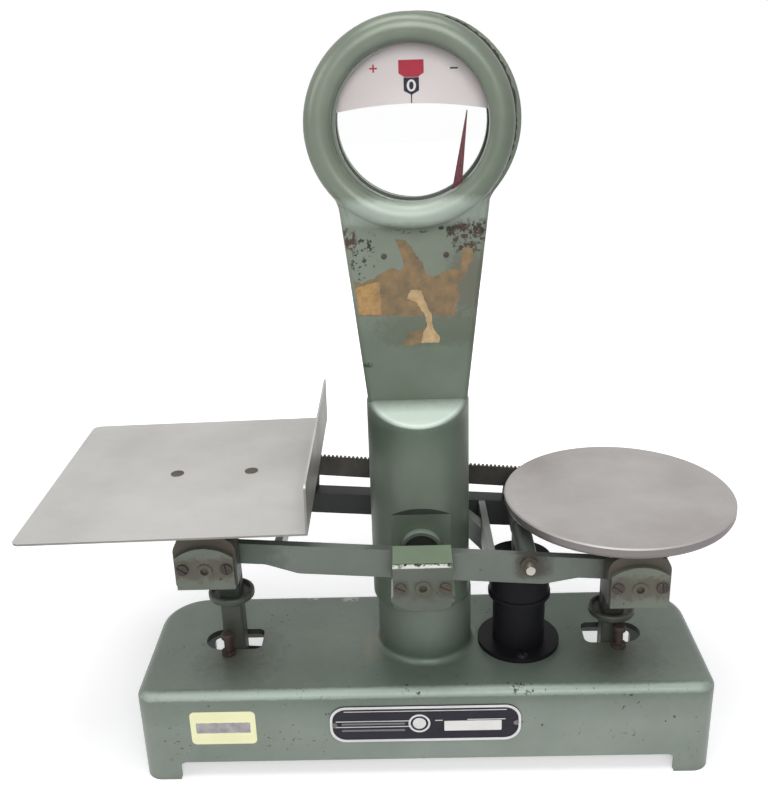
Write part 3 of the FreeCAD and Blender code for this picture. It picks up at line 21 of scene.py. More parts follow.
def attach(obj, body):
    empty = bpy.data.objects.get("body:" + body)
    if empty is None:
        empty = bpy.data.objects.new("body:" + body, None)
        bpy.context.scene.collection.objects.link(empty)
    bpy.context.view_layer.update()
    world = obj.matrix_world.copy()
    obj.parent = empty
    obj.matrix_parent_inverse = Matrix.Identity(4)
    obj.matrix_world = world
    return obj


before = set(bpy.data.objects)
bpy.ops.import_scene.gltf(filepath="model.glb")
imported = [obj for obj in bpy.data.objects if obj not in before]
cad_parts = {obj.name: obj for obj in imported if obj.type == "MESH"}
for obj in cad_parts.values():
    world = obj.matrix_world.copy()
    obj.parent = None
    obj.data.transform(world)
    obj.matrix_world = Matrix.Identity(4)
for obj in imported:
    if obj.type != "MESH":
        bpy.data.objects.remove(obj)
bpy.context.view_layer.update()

MM = 0.001
PIVOT_X = 19.916
# The beam's ends lie BEAM_END from the pivot, and the right one hangs END_DROP lower than the left.
BEAM_END = 158.0
END_DROP = 23.0
WHITE = (1.0, 1.0, 1.0)
LOG = logging.getLogger("counter_balance")

Colour = tuple[float, float, float]
Vec3 = tuple[float, float, float]
Point = tuple[float, float]
Node = bpy.types.Node
Socket = bpy.types.NodeSocket
Tree = bpy.types.NodeTree
Material = bpy.types.Material


# ------------------------------------------------------------------------------ node trees
class Shading:
    """Adds nodes to one node tree and joins them."""

    def __init__(self, tree: Tree) -> None:
        """Keep the tree that is being built."""
        self.tree = tree

    def add(self, kind: str, values: dict[str | int, object] | None = None, **settings: object) -> Node:
        """Add one node.

        Args:
            kind: The node's type name.
            values: Input names or numbers, each with a plain value or a socket to join.
            **settings: Properties of the node.

        Returns:
            The new node.
        """
        node = self.tree.nodes.new(kind)
        for name, value in settings.items():
            setattr(node, name, value)
        for name, value in (values or {}).items():
            self.put(node.inputs[name], value)
        return node

    def put(self, target: Socket, value: object) -> None:
        """Join a socket to an input, or set the input's value.

        Args:
            target: The input.
            value: A socket, a number, a colour or a vector.
        """
        if isinstance(value, Socket):
            self.tree.links.new(value, target)
        elif target.type == "RGBA" and len(value) == 3:
            target.default_value = (*value, 1.0)
        else:
            target.default_value = value

    def math(self, operation: str, first: object, second: object = 0.0, clamp: bool = False) -> Socket:
        """Arithmetic on one or two numbers."""
        node = self.add("ShaderNodeMath", {0: first, 1: second}, operation=operation, use_clamp=clamp)
        return node.outputs["Value"]

    def times(self, first: object, second: object, clamp: bool = False) -> Socket:
        """Product of two numbers."""
        return self.math("MULTIPLY", first, second, clamp)

    def plus(self, first: object, second: object) -> Socket:
        """Sum of two numbers."""
        return self.math("ADD", first, second)

    def minus(self, first: object, second: object, clamp: bool = False) -> Socket:
        """Difference of two numbers."""
        return self.math("SUBTRACT", first, second, clamp)

    def vector(self, operation: str, first: object, second: object = (0.0, 0.0, 0.0)) -> Node:
        """Arithmetic on two vectors."""
        return self.add("ShaderNodeVectorMath", {0: first, 1: second}, operation=operation)

    def remap(self, value: object, low: float, high: float, start: float = 0.0, end: float = 1.0) -> Socket:
        """Stretch a range of numbers to another, clamped."""
        node = self.add("ShaderNodeMapRange", {"Value": value, "From Min": low, "From Max": high,
                                               "To Min": start, "To Max": end})
        return node.outputs["Result"]

    def mix(self, share: object, first: object, second: object) -> Socket:
        """Mix two colours."""
        return self.add("ShaderNodeMix", {0: share, 6: first, 7: second}, data_type="RGBA").outputs[2]

    def noise(self, place: object, scale: float, detail: float = 3.0, roughness: float = 0.55) -> Socket:
        """Cloudy noise between 0 and 1."""
        node = self.add("ShaderNodeTexNoise", {"Vector": place, "Scale": scale, "Detail": detail,
                                               "Roughness": roughness})
        return node.outputs["Fac"]

    def rise(self) -> Socket:
        """How far the surface faces up, from -1 to 1."""
        normal = self.add("ShaderNodeNewGeometry").outputs["Normal"]
        return self.add("ShaderNodeSeparateXYZ", {0: normal}).outputs["Z"]

    def group(self, tree: Tree, place: object, **values: object) -> bpy.types.bpy_prop_collection:
        """Place a shared group.

        Args:
            tree: The group.
            place: The vector that it is read at.
            **values: Its other inputs, each space as an underscore.

        Returns:
            The group's outputs.
        """
        node = self.add("ShaderNodeGroup", node_tree=tree)
        for label, value in {"Position": place, **values}.items():
            self.put(node.inputs[label.replace("_", " ")], value)
        return node.outputs


class GroupDraft(Shading):
    """A shared group while it is being made."""

    def __init__(self, name: str, takes: dict[str, tuple[str, object]], gives: dict[str, str]) -> None:
        """Start a group with its sockets.

        Args:
            name: The group's name.
            takes: Input names, each with a socket kind and a default value.
            gives: Output names, each with a socket kind.
        """
        super().__init__(bpy.data.node_groups.new(name, "ShaderNodeTree"))
        for label, (kind, default) in takes.items():
            socket = self.tree.interface.new_socket(label, in_out="INPUT", socket_type="NodeSocket" + kind)
            if default is not None:
                socket.default_value = default
        for label, kind in gives.items():
            self.tree.interface.new_socket(label, in_out="OUTPUT", socket_type="NodeSocket" + kind)
        self.source = self.tree.nodes.new("NodeGroupInput").outputs
        self.sink = self.tree.nodes.new("NodeGroupOutput").inputs

    def give(self, label: str, value: object) -> None:
        """Join an output."""
        self.put(self.sink[label], value)


class SharedGroups:
    """Shader effects that more than one material uses."""

    @cached_property
    def cast_skin(self) -> Tree:
        """Fine orange peel and broad unevenness of a painted or bare casting."""
        draft = GroupDraft("cast_skin", {"Position": ("Vector", None), "Grain": ("Float", 500.0),
                                         "Broad": ("Float", 14.0)}, {"Height": "Float", "Tone": "Float"})
        place, grain, broad = draft.source["Position"], draft.source["Grain"], draft.source["Broad"]
        fine = draft.noise(place, grain, 3.0, 0.6)
        coarse = draft.noise(place, draft.times(grain, 0.16), 2.0)
        draft.give("Height", draft.plus(draft.times(fine, 0.4), draft.times(coarse, 0.6)))
        draft.give("Tone", draft.remap(draft.noise(place, broad, 4.0, 0.62), 0.3, 0.7))
        return draft.tree

    @cached_property
    def worn_edge(self) -> Tree:
        """Broken line of wear along sharp edges."""
        draft = GroupDraft("worn_edge", {
            "Position": ("Vector", None), "Radius": ("Float", 0.001), "Break up": ("Float", 160.0),
            "Share": ("Float", 0.5)}, {"Mask": "Float"})
        soft = draft.add("ShaderNodeBevel", {"Radius": draft.source["Radius"]}, samples=6).outputs["Normal"]
        true = draft.add("ShaderNodeNewGeometry").outputs["Normal"]
        turn = draft.vector("DOT_PRODUCT", soft, true).outputs["Value"]
        edge = draft.remap(turn, 0.985, 0.86)
        rag = draft.noise(draft.source["Position"], draft.source["Break up"], 4.0, 0.7)
        limit = draft.remap(draft.source["Share"], 0.0, 1.0, 0.75, 0.3)
        cut = draft.times(draft.minus(rag, limit), 14.0, clamp=True)
        draft.give("Mask", draft.times(edge, cut))
        return draft.tree

    @cached_property
    def chips(self) -> Tree:
        """Scattered small chips that gather in loose clusters."""
        draft = GroupDraft("chips", {"Position": ("Vector", None), "Size": ("Float", 300.0),
                                     "Share": ("Float", 0.1)}, {"Mask": "Float"})
        place, size, share = draft.source["Position"], draft.source["Size"], draft.source["Share"]
        spots = draft.noise(place, size, 3.0, 0.65)
        herd = draft.noise(place, draft.times(size, 0.14), 2.0, 0.5)
        both = draft.plus(draft.times(spots, 0.7), draft.times(herd, 0.3))
        limit = draft.remap(share, 0.0, 1.0, 0.8, 0.4)
        draft.give("Mask", draft.times(draft.minus(both, limit), 22.0, clamp=True))
        return draft.tree

    @cached_property
    def zone(self) -> Tree:
        """Rounded region with a soft and ragged border."""
        draft = GroupDraft("zone", {"Position": ("Vector", None), "Centre": ("Vector", None),
                                    "Half size": ("Vector", None), "Size": ("Float", 0.01),
                                    "Fade": ("Float", 0.004), "Ragged": ("Float", 0.004)}, {"Mask": "Float"})
        off = draft.vector("SUBTRACT", draft.source["Position"], draft.source["Centre"]).outputs[0]
        share = draft.vector("DIVIDE", off, draft.source["Half size"]).outputs[0]
        square = draft.vector("MULTIPLY", share, share).outputs[0]
        norm = draft.math("POWER", draft.vector("DOT_PRODUCT", square, square).outputs["Value"], 0.25)
        reach = draft.times(draft.minus(norm, 1.0), draft.source["Size"])
        broad = draft.noise(draft.source["Position"], 150.0, 5.0, 0.75)
        rag = draft.times(draft.minus(broad, 0.5), 2.0)
        reach = draft.plus(reach, draft.times(rag, draft.source["Ragged"]))
        draft.give("Mask", draft.minus(1.0, draft.math("DIVIDE", reach, draft.source["Fade"]), clamp=True))
        return draft.tree

    @cached_property
    def corner_shade(self) -> Tree:
        """Painted shade in corners and hollows, from ambient occlusion broken up by cloudy noise."""
        draft = GroupDraft("corner_shade", {"Position": ("Vector", None), "Distance": ("Float", 0.012),
                                     "Amount": ("Float", 0.6)}, {"Mask": "Float"})
        shade = draft.add("ShaderNodeAmbientOcclusion", {"Distance": draft.source["Distance"]}, samples=4)
        hollow = draft.remap(shade.outputs["AO"], 0.85, 0.25)
        cloud = draft.remap(draft.noise(draft.source["Position"], 60.0, 4.0, 0.6), 0.3, 0.65)
        spread = draft.times(hollow, draft.plus(draft.times(cloud, 0.7), 0.3))
        draft.give("Mask", draft.times(spread, draft.source["Amount"], clamp=True))
        return draft.tree

    @cached_property
    def rubbing(self) -> Tree:
        """Fine scratches and soft smears of a handled metal sheet."""
        draft = GroupDraft("rubbing", {
            "Position": ("Vector", None), "Stretch": ("Vector", (60.0, 900.0, 900.0))},
            {"Height": "Float", "Smear": "Float"})
        place = draft.source["Position"]
        lean = draft.add("ShaderNodeVectorRotate", {"Vector": place, "Angle": 0.5},
                         rotation_type="Z_AXIS").outputs[0]
        fine = draft.noise(draft.vector("MULTIPLY", lean, draft.source["Stretch"]).outputs[0], 1.0, 3.0, 0.7)
        across = draft.vector("MULTIPLY", place, (700.0, 45.0, 45.0)).outputs[0]
        draft.give("Height", draft.plus(fine, draft.times(draft.noise(across, 1.0, 2.0, 0.7), 0.5)))
        draft.give("Smear", draft.remap(draft.noise(place, 11.0, 5.0, 0.6), 0.32, 0.68))
        return draft.tree


GROUPS = SharedGroups()


# ------------------------------------------------------------------------------ finishes
class Facing(Enum):
    """Which faces a patch stays on, as the normal's rise at none and at all of it."""

    ANY = None
    UP = (0.25, 0.80)
    DOWN = (-0.25, -0.50)
    WALL = (0.60, 0.30)


class DamageAndPaintedLight(Enum):
    """What has happened to the paint in a region, and the shade and highlights painted onto it."""

    CHIPPED = "dark chips"
    FLAKED = "brown chips"
    BARED = "worn to pale metal"
    SOILED = "dull brown dirt"
    # Painted shade: darker, greener colour where shade falls.
    SHADED = "darker, greener paint"
    # Painted shade in slots, hollows and under parts, together with oily grime.
    BLACKENED = "oil and soot"
    DUSTED = "pale caked dust"
    # Painted highlight: pale, bright colour where light catches the paint.
    RUBBED = "paint polished pale and bright"


DAMAGE_AND_LIGHT_COLOURS: dict[DamageAndPaintedLight, Colour] = {
    DamageAndPaintedLight.CHIPPED: (0.022, 0.019, 0.017),
    DamageAndPaintedLight.FLAKED: (0.060, 0.038, 0.026),
    DamageAndPaintedLight.BARED: (0.62, 0.64, 0.58),
    DamageAndPaintedLight.SOILED: (0.075, 0.056, 0.038),
    # Painted shade colour.
    DamageAndPaintedLight.SHADED: (0.046, 0.076, 0.050),
    # Painted shade and grime colour.
    DamageAndPaintedLight.BLACKENED: (0.026, 0.028, 0.027),
    DamageAndPaintedLight.DUSTED: (0.30, 0.29, 0.23),
    # Painted highlight colour.
    DamageAndPaintedLight.RUBBED: (0.60, 0.70, 0.62),
}
FILMS_AND_PAINTED_LIGHT = (DamageAndPaintedLight.SOILED, DamageAndPaintedLight.SHADED, DamageAndPaintedLight.BLACKENED, DamageAndPaintedLight.DUSTED, DamageAndPaintedLight.RUBBED)


@dataclass(frozen=True)
class Patch:
    """A region of damaged paint, painted shade or painted highlight, in millimetres, with X from the pivot.
    """

    damage: DamageAndPaintedLight
    centre: Vec3
    half: Vec3
    share: float = 0.5
    size: float = 300.0
    fade: float = 4.0
    ragged: float = 8.0
    facing: Facing = Facing.ANY


def both_ends(damage: DamageAndPaintedLight, centre: Vec3, half: Vec3, drop: float = 0.0,
              **look: object) -> tuple[Patch, Patch]:
    """The same patch left and right of the pivot, where the right one lies lower by drop."""
    x, y, z = centre
    return Patch(damage, (-x, y, z), half, **look), Patch(damage, (x, y, z - drop), half, **look)


@dataclass(frozen=True)
class Enamel:
    """Aged enamel over cast iron, with painted shade in its corners."""

    name: str
    light: Colour = (0.196, 0.226, 0.180)
    dark: Colour = (0.118, 0.145, 0.108)
    # Colour of the fine dark specks and of the painted shade in corners.
    dirt: Colour = (0.040, 0.038, 0.028)
    roughness: float = 0.31
    metallic: float = 0.22
    gloss: float = 0.40
    edge_share: float = 0.32
    corner_shade: float = 0.55
    patches: tuple[Patch, ...] = ()

    def make(self) -> Material:
        """Build the material.

        Returns:
            The enamel material with its patches of damage, painted shade and painted highlight.
        """
        material, sheet, place = new_material(self.name)
        skin = sheet.group(GROUPS.cast_skin, place, Grain=620.0, Broad=9.0)
        colour = sheet.mix(skin["Tone"], self.dark, self.light)
        fleck = sheet.group(GROUPS.chips, place, Size=430.0, Share=0.25)["Mask"]
        colour = sheet.mix(sheet.times(fleck, 0.8), colour, self.dirt)
        # Painted shade in corners and hollows, mixed in the dirt colour.
        corner = sheet.group(GROUPS.corner_shade, place, Distance=0.010, Amount=self.corner_shade)["Mask"]
        colour = sheet.mix(corner, colour, self.dirt)
        height = skin["Height"]
        bare = sheet.times(fleck, 0.5)
        # Patches of painted shade and painted highlight join the bare mask too, so they also roughen and sink
        # the paint.
        for patch in self.patches:
            mask = patch_mask(sheet, place, patch)
            colour = sheet.mix(mask, colour, DAMAGE_AND_LIGHT_COLOURS[patch.damage])
            bare = sheet.math("MAXIMUM", bare, mask)
        edge = sheet.group(GROUPS.worn_edge, place, Radius=0.0009, Break_up=210.0,
                           Share=self.edge_share)["Mask"]
        colour = sheet.mix(edge, colour, DAMAGE_AND_LIGHT_COLOURS[DamageAndPaintedLight.CHIPPED])
        bare = sheet.math("MAXIMUM", bare, edge)
        height = sheet.minus(height, sheet.times(bare, 1.3))
        rough = sheet.plus(sheet.remap(skin["Tone"], 0.0, 1.0, self.roughness + 0.07, self.roughness - 0.03),
                           sheet.times(bare, 0.3))
        shader = surface(sheet, colour, rough, metallic=self.metallic, gloss=self.gloss)
        bump(sheet, shader, height, 0.25, 0.00035)
        return material


@dataclass(frozen=True)
class BareIron:
    """Dull, oily or rusty iron and steel."""

    name: str
    light: Colour = (0.105, 0.098, 0.084)
    dark: Colour = (0.036, 0.032, 0.029)
    rust: Colour = (0.085, 0.036, 0.020)
    rust_share: float = 0.3
    roughness: float = 0.55
    metallic: float = 0.25
    grain: float = 700.0

    def make(self) -> Material:
        """Build the material.

        Returns:
            The iron material.
        """
        material, sheet, place = new_material(self.name)
        skin = sheet.group(GROUPS.cast_skin, place, Grain=self.grain, Broad=38.0)
        colour = sheet.mix(skin["Tone"], self.dark, self.light)
        rust = sheet.group(GROUPS.chips, place, Size=240.0, Share=self.rust_share)["Mask"]
        colour = sheet.mix(rust, colour, self.rust)
        edge = sheet.group(GROUPS.worn_edge, place, Radius=0.0007, Break_up=260.0, Share=0.55)["Mask"]
        rub = tuple(min(1.0, 2.1 * part) for part in self.light)
        colour = sheet.mix(sheet.times(edge, 0.7), colour, rub)
        rough = sheet.plus(sheet.remap(skin["Tone"], 0.0, 1.0, self.roughness + 0.1, self.roughness - 0.06),
                           sheet.times(rust, 0.15))
        shader = surface(sheet, colour, rough, metallic=self.metallic)
        bump(sheet, shader, sheet.plus(skin["Height"], sheet.times(rust, 0.5)), 0.35, 0.0003)
        return material


@dataclass(frozen=True)
class SheetAluminium:
    """Matt, scuffed aluminium, with painted shade on faces that turn away from up."""

    name: str
    light: Colour = (0.600, 0.590, 0.565)
    dark: Colour = (0.470, 0.460, 0.442)
    stain: Colour = (0.300, 0.270, 0.235)
    stain_share: float = 0.10
    # Colour and share of the painted shade on rims and undersides.
    side: Colour = (0.22, 0.21, 0.19)
    side_shade_share: float = 0.0
    roughness: float = 0.46
    metallic: float = 0.45

    def make(self) -> Material:
        """Build the material.

        Returns:
            The aluminium material.
        """
        material, sheet, place = new_material(self.name)
        rub = sheet.group(GROUPS.rubbing, place)
        colour = sheet.mix(rub["Smear"], self.dark, self.light)
        spots = sheet.group(GROUPS.chips, place, Size=420.0, Share=self.stain_share)["Mask"]
        colour = sheet.mix(sheet.times(spots, 0.6), colour, self.stain)
        line = sheet.remap(rub["Height"], 0.92, 1.05)
        colour = sheet.mix(sheet.times(line, 0.16), colour, (0.80, 0.80, 0.78))
        # Painted shade: darker on faces that turn away from up.
        colour = sheet.mix(sheet.remap(sheet.rise(), 0.35, 0.0, 0.0, self.side_shade_share), colour, self.side)
        rough = sheet.remap(rub["Smear"], 0.0, 1.0, self.roughness + 0.08, self.roughness - 0.05)
        shader = surface(sheet, colour, rough, metallic=self.metallic)
        bump(sheet, shader, rub["Height"], 0.10, 0.0001)
        return material


@dataclass(frozen=True)
class Lacquer:
    """Smooth paint or print with a little dust and unevenness."""

    name: str
    colour: Colour
    dust: Colour = (0.16, 0.155, 0.14)
    dust_share: float = 0.0
    roughness: float = 0.32
    metallic: float = 0.0
    gloss: float = 0.4
    fade: float = 0.10

    def make(self) -> Material:
        """Build the material.

        Returns:
            The lacquer material.
        """
        material, sheet, place = new_material(self.name)
        skin = sheet.group(GROUPS.cast_skin, place, Grain=420.0, Broad=30.0)
        worn = tuple(part + (1.0 - part) * self.fade * 0.35 for part in self.colour)
        colour = sheet.mix(skin["Tone"], self.colour, worn)
        cloud = sheet.group(GROUPS.chips, place, Size=520.0, Share=0.42)["Mask"]
        settled = sheet.plus(sheet.times(cloud, 0.6), 0.4)
        lying = sheet.times(sheet.remap(sheet.rise(), 0.2, 1.0), settled)
        dust = sheet.times(lying, self.dust_share * 3.0, clamp=True)
        colour = sheet.mix(dust, colour, self.dust)
        rough = sheet.plus(sheet.remap(skin["Tone"], 0.0, 1.0, self.roughness, self.roughness + 0.1),
                           sheet.times(dust, 0.3))
        shader = surface(sheet, colour, rough, metallic=self.metallic, gloss=self.gloss)
        bump(sheet, shader, skin["Height"], 0.15, 0.0002)
        return material


@dataclass(frozen=True)
class Paper:
    """Paper, card or dried adhesive with stains and fibres."""

    name: str
    colour: Colour
    stain: Colour
    stain_scale: float = 60.0
    roughness: float = 0.75

    def make(self) -> Material:
        """Build the material.

        Returns:
            The paper material.
        """
        material, sheet, place = new_material(self.name)
        skin = sheet.group(GROUPS.cast_skin, place, Grain=1500.0, Broad=self.stain_scale)
        colour = sheet.mix(skin["Tone"], self.stain, self.colour)
        rough = sheet.remap(skin["Tone"], 0.0, 1.0, self.roughness, self.roughness - 0.1)
        shader = surface(sheet, colour, rough)
        bump(sheet, shader, skin["Height"], 0.3, 0.0001)
        return material


@dataclass(frozen=True)
class WindowGlass:
    """Thin clear glass with faint smears."""

    name: str = "window_glass_clear"
    tint: Colour = (0.992, 0.996, 0.994)

    def make(self) -> Material:
        """Build the material.

        Returns:
            The glass material.
        """
        material, sheet, place = new_material(self.name)
        smear = sheet.remap(sheet.noise(place, 26.0, 5.0, 0.6), 0.42, 0.75)
        colour = sheet.mix(sheet.times(smear, 0.25), self.tint, (0.96, 0.96, 0.955))
        rough = sheet.remap(smear, 0.0, 1.0, 0.015, 0.05)
        shader = surface(sheet, colour, rough)
        shader.inputs["Transmission Weight"].default_value = 1.0
        shader.inputs["IOR"].default_value = 1.2
        bump(sheet, shader, smear, 0.02, 0.0001)
        return material


def new_material(name: str) -> tuple[Material, Shading, Socket]:
    """Start an empty material.

    Args:
        name: The material's name.

    Returns:
        The material, its node sheet and the socket with the place in the part's frame.
    """
    material = bpy.data.materials.new(name)
    material.use_nodes = True
    material.node_tree.nodes.clear()
    sheet = Shading(material.node_tree)
    return material, sheet, sheet.add("ShaderNodeTexCoord").outputs["Object"]


def surface(sheet: Shading, colour: object, rough: object, metallic: float = 0.0, gloss: float = 0.5) -> Node:
    """Add the shader and the output.

    Args:
        sheet: The material's node sheet.
        colour: Base colour, a socket or a colour.
        rough: Roughness, a socket or a number.
        metallic: How metallic it is.
        gloss: Strength of the plain reflection.

    Returns:
        The shader's node.
    """
    shader = sheet.add("ShaderNodeBsdfPrincipled", {"Base Color": colour, "Roughness": rough,
                                                    "Metallic": metallic, "Specular IOR Level": gloss})
    sheet.add("ShaderNodeOutputMaterial", {"Surface": shader.outputs[0]})
    return shader


def bump(sheet: Shading, shader: Node, height: object, strength: float, depth: float) -> None:
    """Give a shader a bump."""
    node = sheet.add("ShaderNodeBump", {"Strength": strength, "Distance": depth, "Height": height})
    sheet.put(shader.inputs["Normal"], node.outputs["Normal"])


def patch_mask(sheet: Shading, place: Socket, patch: Patch) -> Socket:
    """Mask of one region of damage, painted shade or painted highlight.

    Args:
        sheet: The material's node sheet.
        place: The place in the part's frame.
        patch: The region.

    Returns:
        The mask's socket.
    """
    x, y, z = patch.centre
    region = sheet.group(GROUPS.zone, place, Centre=((x + PIVOT_X) * MM, y * MM, z * MM),
                         Half_size=tuple(v * MM for v in patch.half),
                         Size=min(patch.half[0], patch.half[2]) * MM,
                         Fade=patch.fade * MM, Ragged=patch.ragged * MM)["Mask"]
    if patch.facing is not Facing.ANY:
        region = sheet.times(region, sheet.remap(sheet.rise(), *patch.facing.value))
    if patch.damage in FILMS_AND_PAINTED_LIGHT:
        return sheet.times(region, patch.share)
    spots = sheet.group(GROUPS.chips, place, Size=patch.size, Share=patch.share)["Mask"]
    return sheet.times(region, spots)


# ------------------------------------------------------------------------------ thin pieces
def add_object(name: str, data: bpy.types.ID) -> bpy.types.Object:
    """Put data into the scene.

    Args:
        name: The object's name.
        data: A mesh, lamp or camera.

    Returns:
        The new object.
    """
    thing = bpy.data.objects.new(name, data)
    bpy.context.scene.collection.objects.link(thing)
    return thing


def mesh_data(name: str, mesh: bmesh.types.BMesh, material: Material) -> bpy.types.Mesh:
    """Turn a draft mesh into mesh data.

    Args:
        name: The data's name.
        mesh: The draft, used up by this call.
        material: The finish.

    Returns:
        The data.
    """
    data = bpy.data.meshes.new(name)
    mesh.to_mesh(data)
    mesh.free()
    data.materials.append(material)
    return data


@dataclass(frozen=True)
class Builder:
    """Makes thin upright pieces and hands them to a CAD body."""

    body: str

    def lay(self, name: str, slot: str, material: Material, outline: list[Point], near: float,
            thickness: float, cut: list[Point] | None = None) -> None:
        """Make a thin sheet in an X-Z outline, in millimetres with X from the pivot.

        Args:
            name: The piece's name.
            slot: Not used.
            material: The finish.
            outline: Corners in X and Z.
            near: Y of the front face.
            thickness: Depth behind the front face.
            cut: Corners of a hole, or None.
        """
        mesh = bmesh.new()
        loops = []
        for ring in [outline] + ([cut] if cut else []):
            corners = [mesh.verts.new(((x + PIVOT_X) * MM, near * MM, z * MM)) for x, z in ring]
            loops += [mesh.edges.new((a, b)) for a, b in zip(corners, corners[1:] + corners[:1])]
        made = bmesh.ops.triangle_fill(mesh, edges=loops, use_beauty=True)
        faces = [item for item in made["geom"] if isinstance(item, bmesh.types.BMFace)]
        back = bmesh.ops.extrude_face_region(mesh, geom=faces)["geom"]
        moving = [item for item in back if isinstance(item, bmesh.types.BMVert)]
        bmesh.ops.translate(mesh, verts=moving, vec=(0.0, thickness * MM, 0.0))
        bmesh.ops.recalc_face_normals(mesh, faces=mesh.faces)
        piece = add_object(name, mesh_data(name, mesh, material))
        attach(piece, self.body)
        LOG.info("piece %s on %s", name, self.body)


def rounded_outline(x: float, z: float, width: float, height: float, radius: float,
                    steps: int = 8) -> list[Point]:
    """Corners of a rounded rectangle.

    Args:
        x: Middle in X.
        z: Middle in Z.
        width: Full width.
        height: Full height.
        radius: Corner radius.
        steps: Segments in each corner.

    Returns:
        The corners in order.
    """
    points = []
    for quarter, (sx, sz) in enumerate(((1, 1), (-1, 1), (-1, -1), (1, -1))):
        cx, cz = x + sx * (width / 2 - radius), z + sz * (height / 2 - radius)
        for step in range(steps + 1):
            turn = math.pi / 2 * (quarter + step / steps)
            points.append((cx + radius * math.cos(turn), cz + radius * math.sin(turn)))
    return points


def oval_outline(x: float, z: float, wide: float, high: float, steps: int = 36) -> list[Point]:
    """Corners of an oval around X and Z, with its half width and half height."""
    turns = [2 * math.pi * i / steps for i in range(steps)]
    return [(x + wide * math.cos(turn), z + high * math.sin(turn)) for turn in turns]


def plus_outline(x: float, z: float, arm: float, half: float) -> list[Point]:
    """Corners of a plus sign.

    Args:
        x: Middle in X.
        z: Middle in Z.
        arm: Length of an arm from the middle.
        half: Half an arm's width.

    Returns:
        The corners in order.
    """
    points = []
    corner = [(-arm, -half), (-half, -half), (-half, -arm)]
    for _ in range(4):
        points += [(x + dx, z + dz) for dx, dz in corner]
        corner = [(-dz, dx) for dx, dz in corner]
    return points


def torn_outline(points: list[Point], step: float, depth: float, seed: int) -> list[Point]:
    """Outline with torn sides.

    Args:
        points: Corners in order.
        step: Distance between the new points.
        depth: How far they stray.
        seed: Start of the random draws.

    Returns:
        The finer, ragged outline.
    """
    draw = random.Random(seed)
    out = []
    for (x0, z0), (x1, z1) in zip(points, points[1:] + points[:1]):
        length = math.hypot(x1 - x0, z1 - z0)
        count = max(1, int(length / step))
        nx, nz = -(z1 - z0) / length, (x1 - x0) / length
        for i in range(count):
            share = i / count
            stray = draw.uniform(-depth, depth) if i else draw.uniform(-depth, depth) * 0.3
            out.append((x0 + (x1 - x0) * share + nx * stray, z0 + (z1 - z0) * share + nz * stray))
    return out


def dress(material: Material, *nodes: str) -> None:
    """Give CAD nodes their finish.

    Args:
        material: The finish.
        *nodes: The CAD nodes' names.
    """
    for node in nodes:
        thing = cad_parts[node]
        if not thing.material_slots:
            thing.data.materials.append(material)
        for slot in thing.material_slots:
            slot.link = "OBJECT"
            slot.material = material
        LOG.info("dressed %s with %s", node, material.name)


